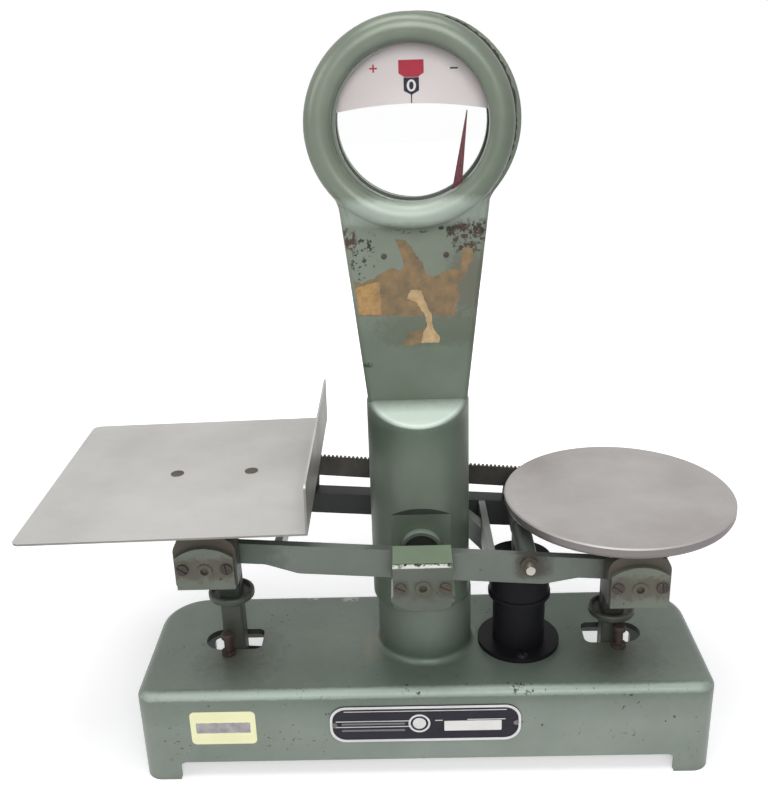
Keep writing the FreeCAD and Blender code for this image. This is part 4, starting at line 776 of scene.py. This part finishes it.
# ------------------------------------------------------------------------------ sub-assemblies
@dataclass
class BaseUnit:
    """Base casting with nameplate, label, stops and check gear."""

    enamel: Enamel = Enamel("base_enamel", light=(0.258, 0.296, 0.258), dark=(0.190, 0.226, 0.190), patches=(
        # Painted shade on the base top round the pillar, under the plates.
        Patch(DamageAndPaintedLight.SHADED, (4, -4, 84), (112, 50, 6), share=0.26, fade=30, ragged=5),
        Patch(DamageAndPaintedLight.SHADED, (4, -34, 84), (66, 20, 6), share=0.24, fade=16, ragged=4),
        # Painted shade on the pillar.
        Patch(DamageAndPaintedLight.SHADED, (0, -8, 112), (50, 50, 24), share=0.40, fade=8, ragged=6),
        # Painted light: upward faces of the base top made paler.
        Patch(DamageAndPaintedLight.RUBBED, (0, 0, 82), (250, 90, 6), share=0.09, fade=3, ragged=1, facing=Facing.UP),
        # Painted highlight along the front top edge.
        Patch(DamageAndPaintedLight.RUBBED, (0, -72, 79.6), (214, 4, 2.6), share=0.34, fade=1.2, ragged=1.6),
        # Painted shade on the inner walls of the slots.
        *both_ends(DamageAndPaintedLight.BLACKENED, (BEAM_END, 0, 80), (36, 16, 7), share=0.92, fade=1, ragged=0.5,
                   facing=Facing.WALL),
        Patch(DamageAndPaintedLight.CHIPPED, (-20, -72, 82), (215, 6, 3), share=0.46, size=260, fade=3),
        Patch(DamageAndPaintedLight.FLAKED, (-70, -8, 83), (100, 60, 4), share=0.38, size=330, fade=12),
        Patch(DamageAndPaintedLight.CHIPPED, (-60, 66, 82), (150, 5, 4), share=0.42, size=240, fade=3),
        Patch(DamageAndPaintedLight.BARED, (-63, 62, 82), (5, 5, 3), share=0.95, size=150, fade=2, ragged=5),
        Patch(DamageAndPaintedLight.BARED, (-98, 65, 82), (4, 4, 3), share=0.85, size=190, fade=2, ragged=5),
        Patch(DamageAndPaintedLight.DUSTED, (-41, -12, 88), (4, 12, 6), share=0.60, fade=5, ragged=9),
        # Painted shade on the base top round the dashpot, under the pan.
        Patch(DamageAndPaintedLight.SHADED, (80, -8, 83), (44, 42, 3), share=0.38, fade=12, ragged=3),
        Patch(DamageAndPaintedLight.SOILED, (-150, -22, 83), (12, 12, 3), share=0.42, fade=7, ragged=5),
        Patch(DamageAndPaintedLight.SOILED, (158, -22, 83), (12, 12, 3), share=0.42, fade=7, ragged=5),
        Patch(DamageAndPaintedLight.FLAKED, (0, -74, 45), (232, 3, 45), share=0.44, fade=6),
    ))
    plate_centre: Point = (0.0, 52.0)
    plate_front: float = -74.8
    plate_size: Point = (151.0, 34.0)
    relief: float = 0.25
    border_outer: Vec3 = (0.4, 0.4, 12.8)
    border_inner: Vec3 = (4.4, 4.8, 11.0)
    top_rule: Vec3 = (12.4, 128.0, 0.6)
    rules: tuple[Vec3, ...] = ((-41.5, 55.0, 58.0), (-41.5, 49.7, 62.0), (10.8, 55.0, 6.0),
                               (48.0, 55.4, 30.0))
    rule_height: float = 0.7
    strips: tuple[Vec3, ...] = ((-41.0, 52.4, 50.0), (-41.0, 46.2, 50.0))
    strip_height: float = 1.7
    strip_sunk: float = 0.1
    blank_field: Vec3 = (37.5, 49.6, 45.0)
    field_height: float = 9.4
    boss_centre: Point = (-4.6, 52.4)
    boss_radii: Vec3 = (8.6, 7.0, 5.2)
    boss_proud: float = 0.05
    label_strip_centre: Point = (-160.0, 50.7)
    label_front: float = -74.3
    label_strip_size: Point = (43.0, 9.8)
    strip_film: float = 0.08
    strip_seed: int = 7

    def build(self) -> None:
        """Dress the base's nodes and make the nameplate's relief and the label."""
        dress(self.enamel.make(), "base_casting")
        rusty = BareIron("rusty_stop", light=(0.062, 0.042, 0.036), dark=(0.020, 0.014, 0.013),
                         rust_share=0.5, metallic=0.1, roughness=0.6).make()
        dress(rusty, "stop_screws", "stop_nuts")
        hidden = BareIron("hidden_iron").make()
        dress(hidden, "check_bracket", "check_lever", "column_bolts")
        steel = BareIron("plain_steel", light=(0.22, 0.20, 0.18), dark=(0.10, 0.09, 0.08), metallic=0.6,
                         roughness=0.42, rust_share=0.2).make()
        dress(steel, "check_pin", "fixing_screws", "nameplate_pins")
        self.nameplate()
        self.label()

    def nameplate(self) -> None:
        """Raised silver border, rules, boss and blank field on black ground."""
        ground = Lacquer("nameplate_black", (0.017, 0.015, 0.024), roughness=0.42, gloss=0.2,
                         fade=0.03).make()
        silver = SheetAluminium("nameplate_silver", light=(0.74, 0.73, 0.73), dark=(0.56, 0.55, 0.55),
                                stain_share=0.22, roughness=0.38).make()
        dress(ground, "nameplate")
        x, z = self.plate_centre
        width, height = self.plate_size
        near = self.plate_front - self.relief
        plate = partial(Builder("base").lay, slot="etched_plate", material=silver, near=near,
                        thickness=self.relief)
        outer, inner = (rounded_outline(x, z, width - narrower, height - lower, corner)
                        for narrower, lower, corner in (self.border_outer, self.border_inner))
        plate("nameplate_border", outline=outer, cut=inner)
        level, length, thin = self.top_rule
        plate("nameplate_top_rule", outline=rounded_outline(x, z + level, length, thin, radius=0.2, steps=2))
        for number, (middle, level, length) in enumerate(self.rules):
            plate(f"nameplate_rule_{number}",
                  outline=rounded_outline(x + middle, level, length, self.rule_height, radius=0.25, steps=2))
        for number, (middle, level, length) in enumerate(self.strips):
            grey = Lacquer(f"nameplate_grey_{number}", (0.16, 0.155, 0.17), dust_share=0.12,
                           roughness=0.45).make()
            plate(f"nameplate_strip_{number}", material=grey, near=near + self.strip_sunk,
                  outline=rounded_outline(x + middle, level, length, self.strip_height, radius=0.5, steps=2),
                  thickness=self.relief - self.strip_sunk)
        middle, level, length = self.blank_field
        blank = SheetAluminium("nameplate_field", light=(0.76, 0.75, 0.72), dark=(0.62, 0.61, 0.58),
                               stain_share=0.3).make()
        plate("nameplate_blank_field", material=blank,
              outline=rounded_outline(x + middle, level, length, self.field_height, radius=0.6, steps=3))
        boss_x, boss_z = self.boss_centre
        ring, hole, disc = (oval_outline(x + boss_x, boss_z, radius, radius, steps=40)
                            for radius in self.boss_radii)
        plate("nameplate_boss_ring", near=near - self.boss_proud, outline=ring, cut=hole)
        plate("nameplate_boss_disc", outline=disc)

    def label(self) -> None:
        """Cream paper label with a worn grey strip."""
        cream = Paper("label_cream", (0.97, 0.965, 0.61), (0.91, 0.90, 0.54), stain_scale=26.0).make()
        dress(cream, "paper_label")
        grey = Paper("label_grey", (0.47, 0.44, 0.45), (0.30, 0.28, 0.30), stain_scale=160.0).make()
        whole = rounded_outline(*self.label_strip_centre, *self.label_strip_size, radius=0.6, steps=2)
        outline = torn_outline(whole, step=2.2, depth=0.16, seed=self.strip_seed)
        Builder("base").lay("label_strip", "label_paper", grey, outline, self.label_front - self.strip_film,
                            self.strip_film)


@dataclass
class Tower:
    """Column, tower and head with the tape's residue on its face."""

    front: Enamel = Enamel("front_housing_enamel", patches=(
        Patch(DamageAndPaintedLight.SOILED, (39, -20, 394), (12, 3, 17), share=0.48, fade=6, ragged=10),
        Patch(DamageAndPaintedLight.SOILED, (14, -20, 359), (28, 3, 9), share=0.38, fade=6, ragged=10),
        Patch(DamageAndPaintedLight.FLAKED, (37, -20, 428), (13, 3, 10), share=0.82, size=230, fade=2, ragged=7),
        Patch(DamageAndPaintedLight.CHIPPED, (37, -20, 428), (13, 3, 10), share=0.74, size=330, fade=2, ragged=7),
        Patch(DamageAndPaintedLight.CHIPPED, (6, -20, 433.2), (19, 3, 2.2), share=0.78, size=170, fade=1, ragged=2.5),
        Patch(DamageAndPaintedLight.CHIPPED, (-35, -20, 421), (7, 3, 8), share=0.58, size=260, fade=2, ragged=6),
        Patch(DamageAndPaintedLight.CHIPPED, (-36, -20, 404), (9, 3, 9), share=0.62, size=260, fade=2, ragged=6),
        Patch(DamageAndPaintedLight.FLAKED, (-45.5, -20, 427), (3.6, 4, 6), share=0.85, size=260, fade=1.5, ragged=4),
        Patch(DamageAndPaintedLight.CHIPPED, (-36.6, -20, 333), (2.6, 5, 1.2), share=0.85, size=150, fade=1, ragged=2),
        Patch(DamageAndPaintedLight.FLAKED, (-52, -18, 520), (26, 6, 40), share=0.42, size=240, fade=5),
        Patch(DamageAndPaintedLight.FLAKED, (46, -18, 548), (28, 6, 26), share=0.42, size=240, fade=5),
        Patch(DamageAndPaintedLight.CHIPPED, (0, -8, 440), (90, 0.5, 140), share=0.72, size=330, fade=0.3, ragged=0.6),
        # Painted shade down the column and the lower tower.
        Patch(DamageAndPaintedLight.SHADED, (0, -14, 210), (60, 60, 80), share=0.42, fade=5, ragged=5),
        Patch(DamageAndPaintedLight.SHADED, (0, -14, 322), (60, 60, 34), share=0.42, fade=30, ragged=5),
        # Painted highlight on the shoulder's half-moon and its lower fillet.
        Patch(DamageAndPaintedLight.RUBBED, (0, -45, 296), (40, 12, 12), share=0.86, fade=14, ragged=2, facing=Facing.UP),
        Patch(DamageAndPaintedLight.RUBBED, (0, -47, 292), (25, 4.5, 5), share=0.50, ragged=1.5, facing=Facing.UP),
        # Painted highlight on the top of the hood.
        Patch(DamageAndPaintedLight.RUBBED, (0, -43, 204), (17, 5, 6), share=0.35, fade=3, ragged=2, facing=Facing.UP),
        # Painted highlight on the ring's lower crest.
        Patch(DamageAndPaintedLight.RUBBED, (-2, -27, 446), (44, 5, 6), share=0.35, fade=6, ragged=3),
        # Painted shade inside the hood's arch.
        Patch(DamageAndPaintedLight.BLACKENED, (0, -40, 190), (12.8, 4.6, 12.8), share=0.92, fade=0.6, ragged=0.6),
        # Painted shade under the recess's overhang.
        Patch(DamageAndPaintedLight.BLACKENED, (0, -43, 222.5), (27, 8, 8), share=0.65, fade=1, ragged=1,
              facing=Facing.DOWN),
    ))
    rear: Enamel = Enamel("rear_housing_enamel", patches=(
        Patch(DamageAndPaintedLight.FLAKED, (0, -7, 440), (90, 2.5, 140), share=0.42, size=260, fade=1, ragged=2),
        # Painted shade down the back of the column.
        Patch(DamageAndPaintedLight.SHADED, (0, 10, 210), (60, 60, 80), share=0.42, fade=5, ragged=5),
    ))
    face: float = -20.5
    seam: float = -8.0
    front_head: Point = (-2.2, 503.5)
    head_radius: float = 71.5
    film: float = 0.08
    amber_lift: float = 0.06
    tail_lift: float = 0.03
    scrap: float = 0.22
    crack_start: float = -62.0
    crack_sweep: float = 132.0
    crack_lap: float = 0.1
    crack_gap: float = 0.5
    crack_width: float = 2.0
    crack_tear: Point = (-0.7, 0.6)
    crack_steps: int = 90
    crack_seed: int = 31

    def build(self) -> None:
        """Dress the two halves and lay the residue."""
        dress(self.front.make(), "front_housing")
        dress(self.rear.make(), "rear_housing")
        dark = BareIron("dark_rivet", light=(0.075, 0.060, 0.055), dark=(0.03, 0.024, 0.022),
                        metallic=0.3).make()
        dress(dark, "tower_rivets", "housing_screws")
        self.tape_residue()
        self.seam_shade_and_crack()

    def seam_shade_and_crack(self) -> None:
        """Dark sheet on the step where the rear half of the head stands out beside the front half: painted
        shade with flaked paint.
        """
        draw = random.Random(self.crack_seed)
        x, z = self.front_head
        edge = self.head_radius + self.crack_lap
        outer, inner = [], []
        for step in range(self.crack_steps + 1):
            turn = math.radians(self.crack_start + self.crack_sweep * step / self.crack_steps)
            swell = self.crack_width * math.sin(math.pi * step / self.crack_steps) ** 0.6
            wide = self.head_radius + self.crack_gap + swell + draw.uniform(*self.crack_tear)
            outer.append((x + wide * math.cos(turn), z + wide * math.sin(turn)))
            inner.append((x + edge * math.cos(turn), z + edge * math.sin(turn)))
        # One dark sheet gives the step's painted shade together with its flaked paint.
        crack = BareIron("seam_shade_and_crack", light=(0.034, 0.028, 0.022), dark=(0.012, 0.010, 0.009), metallic=0.0,
                         roughness=0.7).make()
        Builder("base").lay("seam_shade_and_crack", "dark_iron", crack, outer + inner[::-1], self.seam - self.film,
                            self.film)

    def tape_residue(self) -> None:
        """Brown glue film of an old strip of tape, with torn scraps of it left on top."""
        film = partial(Builder("base").lay, slot="label_paper", thickness=self.film)
        near = self.face - self.film
        glue = Paper("glue_film", (0.245, 0.150, 0.064), (0.098, 0.080, 0.044), stain_scale=110.0,
                     roughness=0.5).make()
        band = [(-44.0, 397), (-39, 395), (-30, 398), (-25, 401.5), (-17, 405.5), (-10, 403), (-8, 408),
                (-11.5, 421), (-15.2, 431.5), (-8.5, 428), (-2, 419), (5, 409), (7.7, 400), (13.7, 398.5),
                (21.7, 403), (32, 403.5), (33.5, 418.5), (41, 418.5), (41, 410), (37.5, 405), (35.5, 398.5),
                (29.6, 390.5), (31.5, 383.5), (28.6, 376), (28.5, 369.2), (-7, 369.9), (-41.2, 370.8)]
        film("glue_band", material=glue, outline=torn_outline(band, step=1.0, depth=0.62, seed=3), near=near)
        amber = Paper("glue_amber", (0.42, 0.255, 0.088), (0.22, 0.130, 0.052), stain_scale=170.0,
                      roughness=0.5).make()
        left = [(-43.2, 391), (-36, 393.5), (-26, 396), (-25.4, 384), (-25.6, 371.2), (-41.4, 371.6)]
        film("tape_left_end", material=amber, outline=torn_outline(left, step=1.0, depth=0.55, seed=5),
             near=near - self.amber_lift)
        tan = Paper("tape_backing", (0.52, 0.375, 0.20), (0.34, 0.235, 0.115), stain_scale=150.0).make()
        strip = [(-3.4, 389.5), (3.6, 388.8), (6.5, 381), (11, 370.5), (12, 361), (17, 353.4), (16.2, 349.2),
                 (3, 349.5), (5.1, 357.8), (8, 362), (6.3, 370.4), (0.4, 380), (-6.4, 383.4)]
        film("tape_scrap", material=tan, outline=torn_outline(strip, step=1.2, depth=0.35, seed=9),
             near=self.face - self.scrap, thickness=self.scrap)
        tail = [(7, 363), (2, 358.6), (-5, 358.6), (-7.3, 354), (-10.4, 346.6), (-4.3, 347), (2.9, 349),
                (7, 357)]
        film("glue_tail", material=glue, outline=torn_outline(tail, step=1.3, depth=0.5, seed=13),
             near=near - self.tail_lift)


@dataclass
class ChartWindow:
    """Glasses, printed chart, pointer and what holds them."""

    chart_front: float = -8.5
    ink: float = 0.06
    flag: tuple[Point, ...] = ((-8.5, 544.5), (8.5, 544.5), (8.5, 536.0), (4.6, 533.4), (-4.6, 533.4),
                               (-8.5, 536.0))
    shield: tuple[Point, ...] = ((-5.2, 533.2), (5.2, 533.2), (5.2, 524.6), (0.0, 521.8), (-5.2, 524.6))
    zero_line: tuple[float, ...] = (0.0, 519.3, 0.8, 5.6)
    nought_centre: Point = (0.0, 528.0)
    nought_outer: Point = (3.1, 3.9)
    nought_inner: Point = (1.5, 2.6)
    plus_centre: Point = (-25.4, 539.5)
    plus_arm: Point = (2.6, 0.55)
    minus: tuple[float, ...] = (28.7, 538.4, 5.4, 1.1)

    def build(self) -> None:
        """Dress glass, chart and pointer and print the marks."""
        dress(WindowGlass().make(), "front_glass", "rear_glass")
        for node in ("front_glass", "rear_glass"):
            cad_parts[node].visible_shadow = False
        dress(Paper("chart_card_white", (0.66, 0.60, 0.595), (0.585, 0.535, 0.53), stain_scale=9.0,
                    roughness=0.6).make(), "chart_plate")
        dress(Lacquer("pointer_dark_red", (0.105, 0.020, 0.028), roughness=0.5, gloss=0.25,
                      fade=0.03).make(), "pointer")
        steel = BareIron("movement_steel", light=(0.30, 0.29, 0.27), dark=(0.16, 0.15, 0.14), metallic=0.7,
                         roughness=0.38, rust_share=0.1).make()
        dress(steel, "chart_screws", "pointer_shaft", "pointer_link")
        dress(Lacquer("retainer_grey", (0.50, 0.50, 0.50), roughness=0.5).make(), "glass_retainers")
        self.print_marks()

    def print_marks(self) -> None:
        """Red flag, dark shield with a nought, zero line, plus and minus."""
        near = self.chart_front - self.ink
        mark = partial(Builder("base").lay, slot="chart_card", near=near, thickness=self.ink)
        red = Lacquer("ink_red", (0.40, 0.020, 0.045), roughness=0.6, gloss=0.2, fade=0.02).make()
        black = Lacquer("ink_black", (0.010, 0.011, 0.022), roughness=0.6, gloss=0.2, fade=0.0).make()
        white = Lacquer("ink_white", (0.70, 0.67, 0.67), roughness=0.6, gloss=0.2).make()
        mark("mark_flag", material=red, outline=list(self.flag))
        mark("mark_shield", material=black, outline=list(self.shield))
        mark("mark_zero_line", material=black, outline=rounded_outline(*self.zero_line, radius=0.2, steps=2))
        nought, hole = (oval_outline(*self.nought_centre, *half)
                        for half in (self.nought_outer, self.nought_inner))
        mark("mark_nought", material=white, outline=nought, near=near - self.ink, cut=hole)
        mark("mark_plus", material=red, outline=plus_outline(*self.plus_centre, *self.plus_arm))
        mark("mark_minus", material=black, outline=rounded_outline(*self.minus, radius=0.3, steps=2))


@dataclass
class BeamUnit:
    """Rocking frame with its brackets, pivots, tare bar and poise."""

    frame_enamel: Enamel = Enamel("beam_enamel", light=(0.156, 0.176, 0.156),
                                  dark=(0.104, 0.120, 0.102), patches=(
        Patch(DamageAndPaintedLight.BLACKENED, (0, 60, 180), (230, 9, 44), share=0.90, ragged=6),
        Patch(DamageAndPaintedLight.SOILED, (80, -66, 188), (9, 4, 9), share=0.60, ragged=5),
        # Painted shade and grime on the cross strut under the pan.
        Patch(DamageAndPaintedLight.BLACKENED, (84, -8, 190), (12, 62, 12), share=0.55, ragged=4),
        # Painted shade on the front bar's left end, under the plate.
        Patch(DamageAndPaintedLight.SHADED, (-150, -66, 205), (34, 6, 18), share=0.55, fade=10, ragged=14),
        Patch(DamageAndPaintedLight.BLACKENED, (160, 0, 180), (28, 62, 16), share=0.35, fade=14, ragged=6),
        Patch(DamageAndPaintedLight.CHIPPED, (0, -68, 190), (200, 5, 22), share=0.30, ragged=5),
    ))
    bracket_enamel: Enamel = Enamel("bracket_enamel", light=(0.250, 0.320, 0.222), dark=(0.185, 0.240, 0.165),
                                    edge_share=0.3, metallic=0.0)
    cover_enamel: Enamel = Enamel("bracket_cover_enamel", light=(0.150, 0.168, 0.142),
                                  dark=(0.098, 0.114, 0.094), edge_share=0.12, roughness=0.5,
                                  metallic=0.0, gloss=0.2, patches=(
        Patch(DamageAndPaintedLight.BARED, (0, -98.4, 207.5), (25, 2.6, 0.8), share=1.0, size=120, fade=0.4, ragged=0.5),
        Patch(DamageAndPaintedLight.CHIPPED, (0, -96.4, 208.6), (24, 2.2, 0.9), share=0.72, size=330, fade=0.4, ragged=0.8),
        Patch(DamageAndPaintedLight.FLAKED, (0, -98.5, 190), (24, 4, 9), share=0.44),
        *both_ends(DamageAndPaintedLight.SOILED, (17, -98.5, 189.5), (6, 4, 6), share=0.36, fade=3, ragged=5),
        Patch(DamageAndPaintedLight.SOILED, (0, -98.5, 188), (6, 4, 6), share=0.40),
    ))

    def build(self) -> None:
        """Dress the beam's nodes and the brackets that carry it."""
        dress(self.frame_enamel.make(), "beam_casting")
        bracket = self.bracket_enamel.make()
        dress(bracket, "front_bracket", "rear_bracket")
        dress(self.cover_enamel.make(), "front_bracket_cover")
        brown = BareIron("brown_screw", light=(0.082, 0.070, 0.046), dark=(0.034, 0.029, 0.021),
                         roughness=0.5, rust_share=0.45).make()
        dress(brown, "front_bracket_screws", "cross_rod_nut", "rear_bracket_bolts")
        bright = BareIron("bright_steel", light=(0.52, 0.49, 0.45), dark=(0.30, 0.27, 0.24), metallic=0.8,
                          roughness=0.32, rust_share=0.08).make()
        dress(bright, "centre_pivots", "end_pivots", "link_pin", "cross_rod")
        bush = BareIron("bush_brass", light=(0.42, 0.30, 0.13), dark=(0.22, 0.15, 0.07), metallic=0.7,
                        roughness=0.4, rust_share=0.1).make()
        dress(bush, "centre_bearings", "left_bearings", "right_bearings", "poise_screw")
        tare = BareIron("tare_bar_iron", light=(0.078, 0.070, 0.060), dark=(0.042, 0.038, 0.033),
                        metallic=0.3, roughness=0.5, rust_share=0.25).make()
        dress(tare, "tare_bar", "poise")


class End(Enum):
    """The two ends of the beam."""

    LEFT = "left"
    RIGHT = "right"


@dataclass
class Supports:
    """Stirrup with covers, disc and stem at each end of the beam, in shared finishes."""

    casting: Enamel = Enamel("support_enamel", light=(0.098, 0.108, 0.088), dark=(0.050, 0.050, 0.043),
                             edge_share=0.45, roughness=0.42, patches=(
        *both_ends(DamageAndPaintedLight.SOILED, (BEAM_END, 0, 222), (34, 96, 12), END_DROP, share=0.60, fade=5),
        # Painted shade and oil on the disc tops under the plate and pan.
        *both_ends(DamageAndPaintedLight.BLACKENED, (BEAM_END, 2, 139), (19, 19, 5), END_DROP, share=0.80, fade=3, ragged=4),
        # Painted shade on the left stem below the disc.
        Patch(DamageAndPaintedLight.SHADED, (-BEAM_END, -16, 131), (22, 8, 4), share=0.25, fade=3, ragged=4),
    ))
    cover: Enamel = Enamel("end_cover_enamel", light=(0.150, 0.168, 0.136), dark=(0.098, 0.112, 0.086),
                           edge_share=0.35, roughness=0.4, patches=(
        *both_ends(DamageAndPaintedLight.SOILED, (BEAM_END, -88, 203), (27, 4, 6), END_DROP, share=0.60, fade=5, ragged=12),
        *both_ends(DamageAndPaintedLight.CHIPPED, (BEAM_END, -88, 203), (32, 4, 20), END_DROP, share=0.42, size=260,
                   fade=3, ragged=6),
    ))

    def build(self) -> None:
        """Dress left and right support."""
        casting, cover = self.casting.make(), self.cover.make()
        screw = BareIron("dark_screw", light=(0.060, 0.046, 0.036), dark=(0.024, 0.018, 0.015), metallic=0.2,
                         rust_share=0.5).make()
        for end in End:
            dress(casting, f"{end.value}_support")
            dress(cover, f"{end.value}_covers")
            dress(screw, f"{end.value}_cover_screws", f"{end.value}_stem_pin")
        dress(screw, "locating_pins", "plate_pins")


@dataclass
class Plates:
    """Square plate with its carrier, and the round pan."""

    def build(self) -> None:
        """Dress both plates."""
        # Both plates get painted shade on their rims and undersides.
        square = SheetAluminium("square_plate_sheet", light=(0.590, 0.580, 0.555), dark=(0.500, 0.488, 0.468),
                                stain_share=0.06, side=(0.190, 0.182, 0.160), side_shade_share=0.9)
        round_pan = SheetAluminium("round_pan_metal", light=(0.475, 0.455, 0.440), dark=(0.375, 0.345, 0.338),
                                   stain_share=0.14, roughness=0.4, side=(0.19, 0.17, 0.17), side_shade_share=0.95)
        carrier = SheetAluminium("carrier_metal", light=(0.20, 0.19, 0.18), dark=(0.12, 0.11, 0.10))
        rivet = BareIron("plate_rivet_steel", light=(0.115, 0.092, 0.080), dark=(0.070, 0.055, 0.048),
                         metallic=0.4)
        for finish, node in ((square, "square_plate"), (round_pan, "round_pan"), (carrier, "plate_carrier"),
                             (rivet, "plate_rivets")):
            dress(finish.make(), node)


@dataclass
class Dashpot:
    """Black oil dashpot, its hanger and piston."""

    def build(self) -> None:
        """Dress the dashpot."""
        black = Lacquer("dashpot_black", (0.008, 0.008, 0.010), roughness=0.36, gloss=0.10,
                        fade=0.01).make()
        dress(black, "dashpot_body", "dashpot_screws", "dashpot_cap")
        iron = BareIron("hanger_iron", light=(0.13, 0.12, 0.11), dark=(0.06, 0.055, 0.05),
                        metallic=0.4).make()
        dress(iron, "dashpot_hanger", "piston_rod", "piston")


# ------------------------------------------------------------------------------ room
@dataclass(frozen=True)
class Lamp:
    """One soft lamp."""

    name: str
    place: Vec3
    aim: Vec3
    size: Point
    power: float
    mirrored: bool = True

    def hang(self) -> None:
        """Add the lamp."""
        light = bpy.data.lights.new(self.name, "AREA")
        light.shape = "RECTANGLE"
        light.size, light.size_y = self.size
        light.energy = self.power
        lamp = add_object(self.name, light)
        lamp.location = self.place
        lamp.visible_transmission = False
        lamp.visible_camera = False
        lamp.visible_glossy = self.mirrored
        lamp.rotation_euler = (Vector(self.aim) - Vector(self.place)).to_track_quat("-Z", "Y").to_euler()


@dataclass
class Studio:
    """Floor, backdrop light, lamps and camera."""

    floor_half: float = 4.0
    floor_colour: Colour = (0.80, 0.80, 0.82)
    near_floor: Point = (0.28, 0.47)
    far_floor: Point = (0.85, 0.86)
    ambient: float = 0.15
    lamps: tuple[Lamp, ...] = (
        Lamp("key_lamp", (0.14, -1.55, 1.05), (0.02, 0.0, 0.22), (0.9, 0.9), 15.5),
        Lamp("crown_lamp", (0.02, -0.42, 1.72), (0.02, 0.0, 0.30), (1.2, 0.7), 12.5),
        Lamp("left_lamp", (-1.25, -0.75, 0.95), (0.0, 0.0, 0.2), (0.6, 0.8), 3.5),
        Lamp("rear_lamp", (0.20, 1.50, 0.42), (0.0, 0.0, 0.28), (1.0, 0.6), 6.0, False),
    )
    camera_place: Vec3 = (0.01108, -0.71353, 0.57615)
    camera_yaw: float = -1.3643
    camera_pitch: float = 21.514
    camera_roll: float = 1.9257
    camera_lens: float = 44.555
    sensor_width: float = 36.0

    def build(self) -> None:
        """Set the room up."""
        bpy.context.scene.view_settings.view_transform = "Standard"
        self.floor()
        self.sky()
        for lamp in self.lamps:
            lamp.hang()
        self.camera()

    @staticmethod
    def seen_share(sheet: Shading) -> Socket:
        """Share of rays that show the plain white background: camera, gloss and glass.

        Args:
            sheet: The node sheet.

        Returns:
            1 for those rays and 0 for the rest.
        """
        path = sheet.add("ShaderNodeLightPath").outputs
        mirror = sheet.math("MAXIMUM", path["Is Glossy Ray"], path["Is Transmission Ray"])
        seen = sheet.math("MAXIMUM", path["Is Camera Ray"], mirror)
        # The depth counts whole bounces, so half of one parts the rays without a bounce from the rest.
        unbounced = sheet.math("LESS_THAN", path["Diffuse Depth"], 0.5)
        return sheet.times(seen, unbounced)

    def floor(self) -> None:
        """Pale floor that keeps the scale's shadow and grows whiter away from it."""
        material, sheet, place = new_material("floor_white")
        cloud = sheet.remap(sheet.noise(place, 3.0), 0.3, 0.7)
        colour = sheet.mix(cloud, tuple(part - 0.01 for part in self.floor_colour), self.floor_colour)
        shader = surface(sheet, colour, 0.9)
        (near, dim), (far, bright) = self.near_floor, self.far_floor
        away = sheet.remap(sheet.vector("LENGTH", place).outputs["Value"], near, far, dim, bright)
        sheet.put(shader.inputs["Emission Color"], WHITE)
        sheet.put(shader.inputs["Emission Strength"], sheet.times(self.seen_share(sheet), away))
        mesh = bmesh.new()
        bmesh.ops.create_grid(mesh, x_segments=8, y_segments=8, size=self.floor_half)
        floor = add_object("floor", mesh_data("floor", mesh, material))

    def sky(self) -> None:
        """Even light from all round, and white where the background shows."""
        world = bpy.data.worlds.new("studio_sky")
        bpy.context.scene.world = world
        world.use_nodes = True
        world.node_tree.nodes.clear()
        sheet = Shading(world.node_tree)
        fill = sheet.add("ShaderNodeBackground", {"Color": WHITE, "Strength": self.ambient})
        white = sheet.add("ShaderNodeBackground", {"Color": WHITE, "Strength": 1.0})
        both = sheet.add("ShaderNodeMixShader", {0: self.seen_share(sheet), 1: fill.outputs[0],
                                                 2: white.outputs[0]})
        sheet.add("ShaderNodeOutputWorld", {"Surface": both.outputs[0]})

    def camera(self) -> None:
        """Place the camera in front of the scale, looking down a little."""
        yaw, pitch, roll = (math.radians(v) for v in (self.camera_yaw, self.camera_pitch, self.camera_roll))
        ahead = Vector((math.sin(yaw) * math.cos(pitch), math.cos(yaw) * math.cos(pitch), -math.sin(pitch)))
        right = Vector((math.cos(yaw), -math.sin(yaw), 0.0))
        down = ahead.cross(right)
        side = math.cos(roll) * right + math.sin(roll) * down
        low = -math.sin(roll) * right + math.cos(roll) * down
        data = bpy.data.cameras.new("studio_camera")
        data.lens = self.camera_lens
        data.sensor_width = self.sensor_width
        camera = add_object("studio_camera", data)
        turn = Matrix((side, -low, -ahead)).transposed().to_4x4()
        camera.matrix_world = Matrix.Translation(self.camera_place) @ turn
        bpy.context.scene.camera = camera


def main() -> None:
    """Build the sub-assemblies in order."""
    logging.basicConfig(level=logging.INFO, format="%(message)s")
    for unit in (Studio(), BaseUnit(), Tower(), ChartWindow(), BeamUnit(), Supports(), Plates(), Dashpot()):
        LOG.info("building %s", type(unit).__name__)
        unit.build()
    bare = sorted(n for n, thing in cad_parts.items()
                  if not any(s.link == "OBJECT" and s.material for s in thing.material_slots))
    LOG.info("nodes without a finish: %s", bare)


if __name__ == "__main__":
    main()
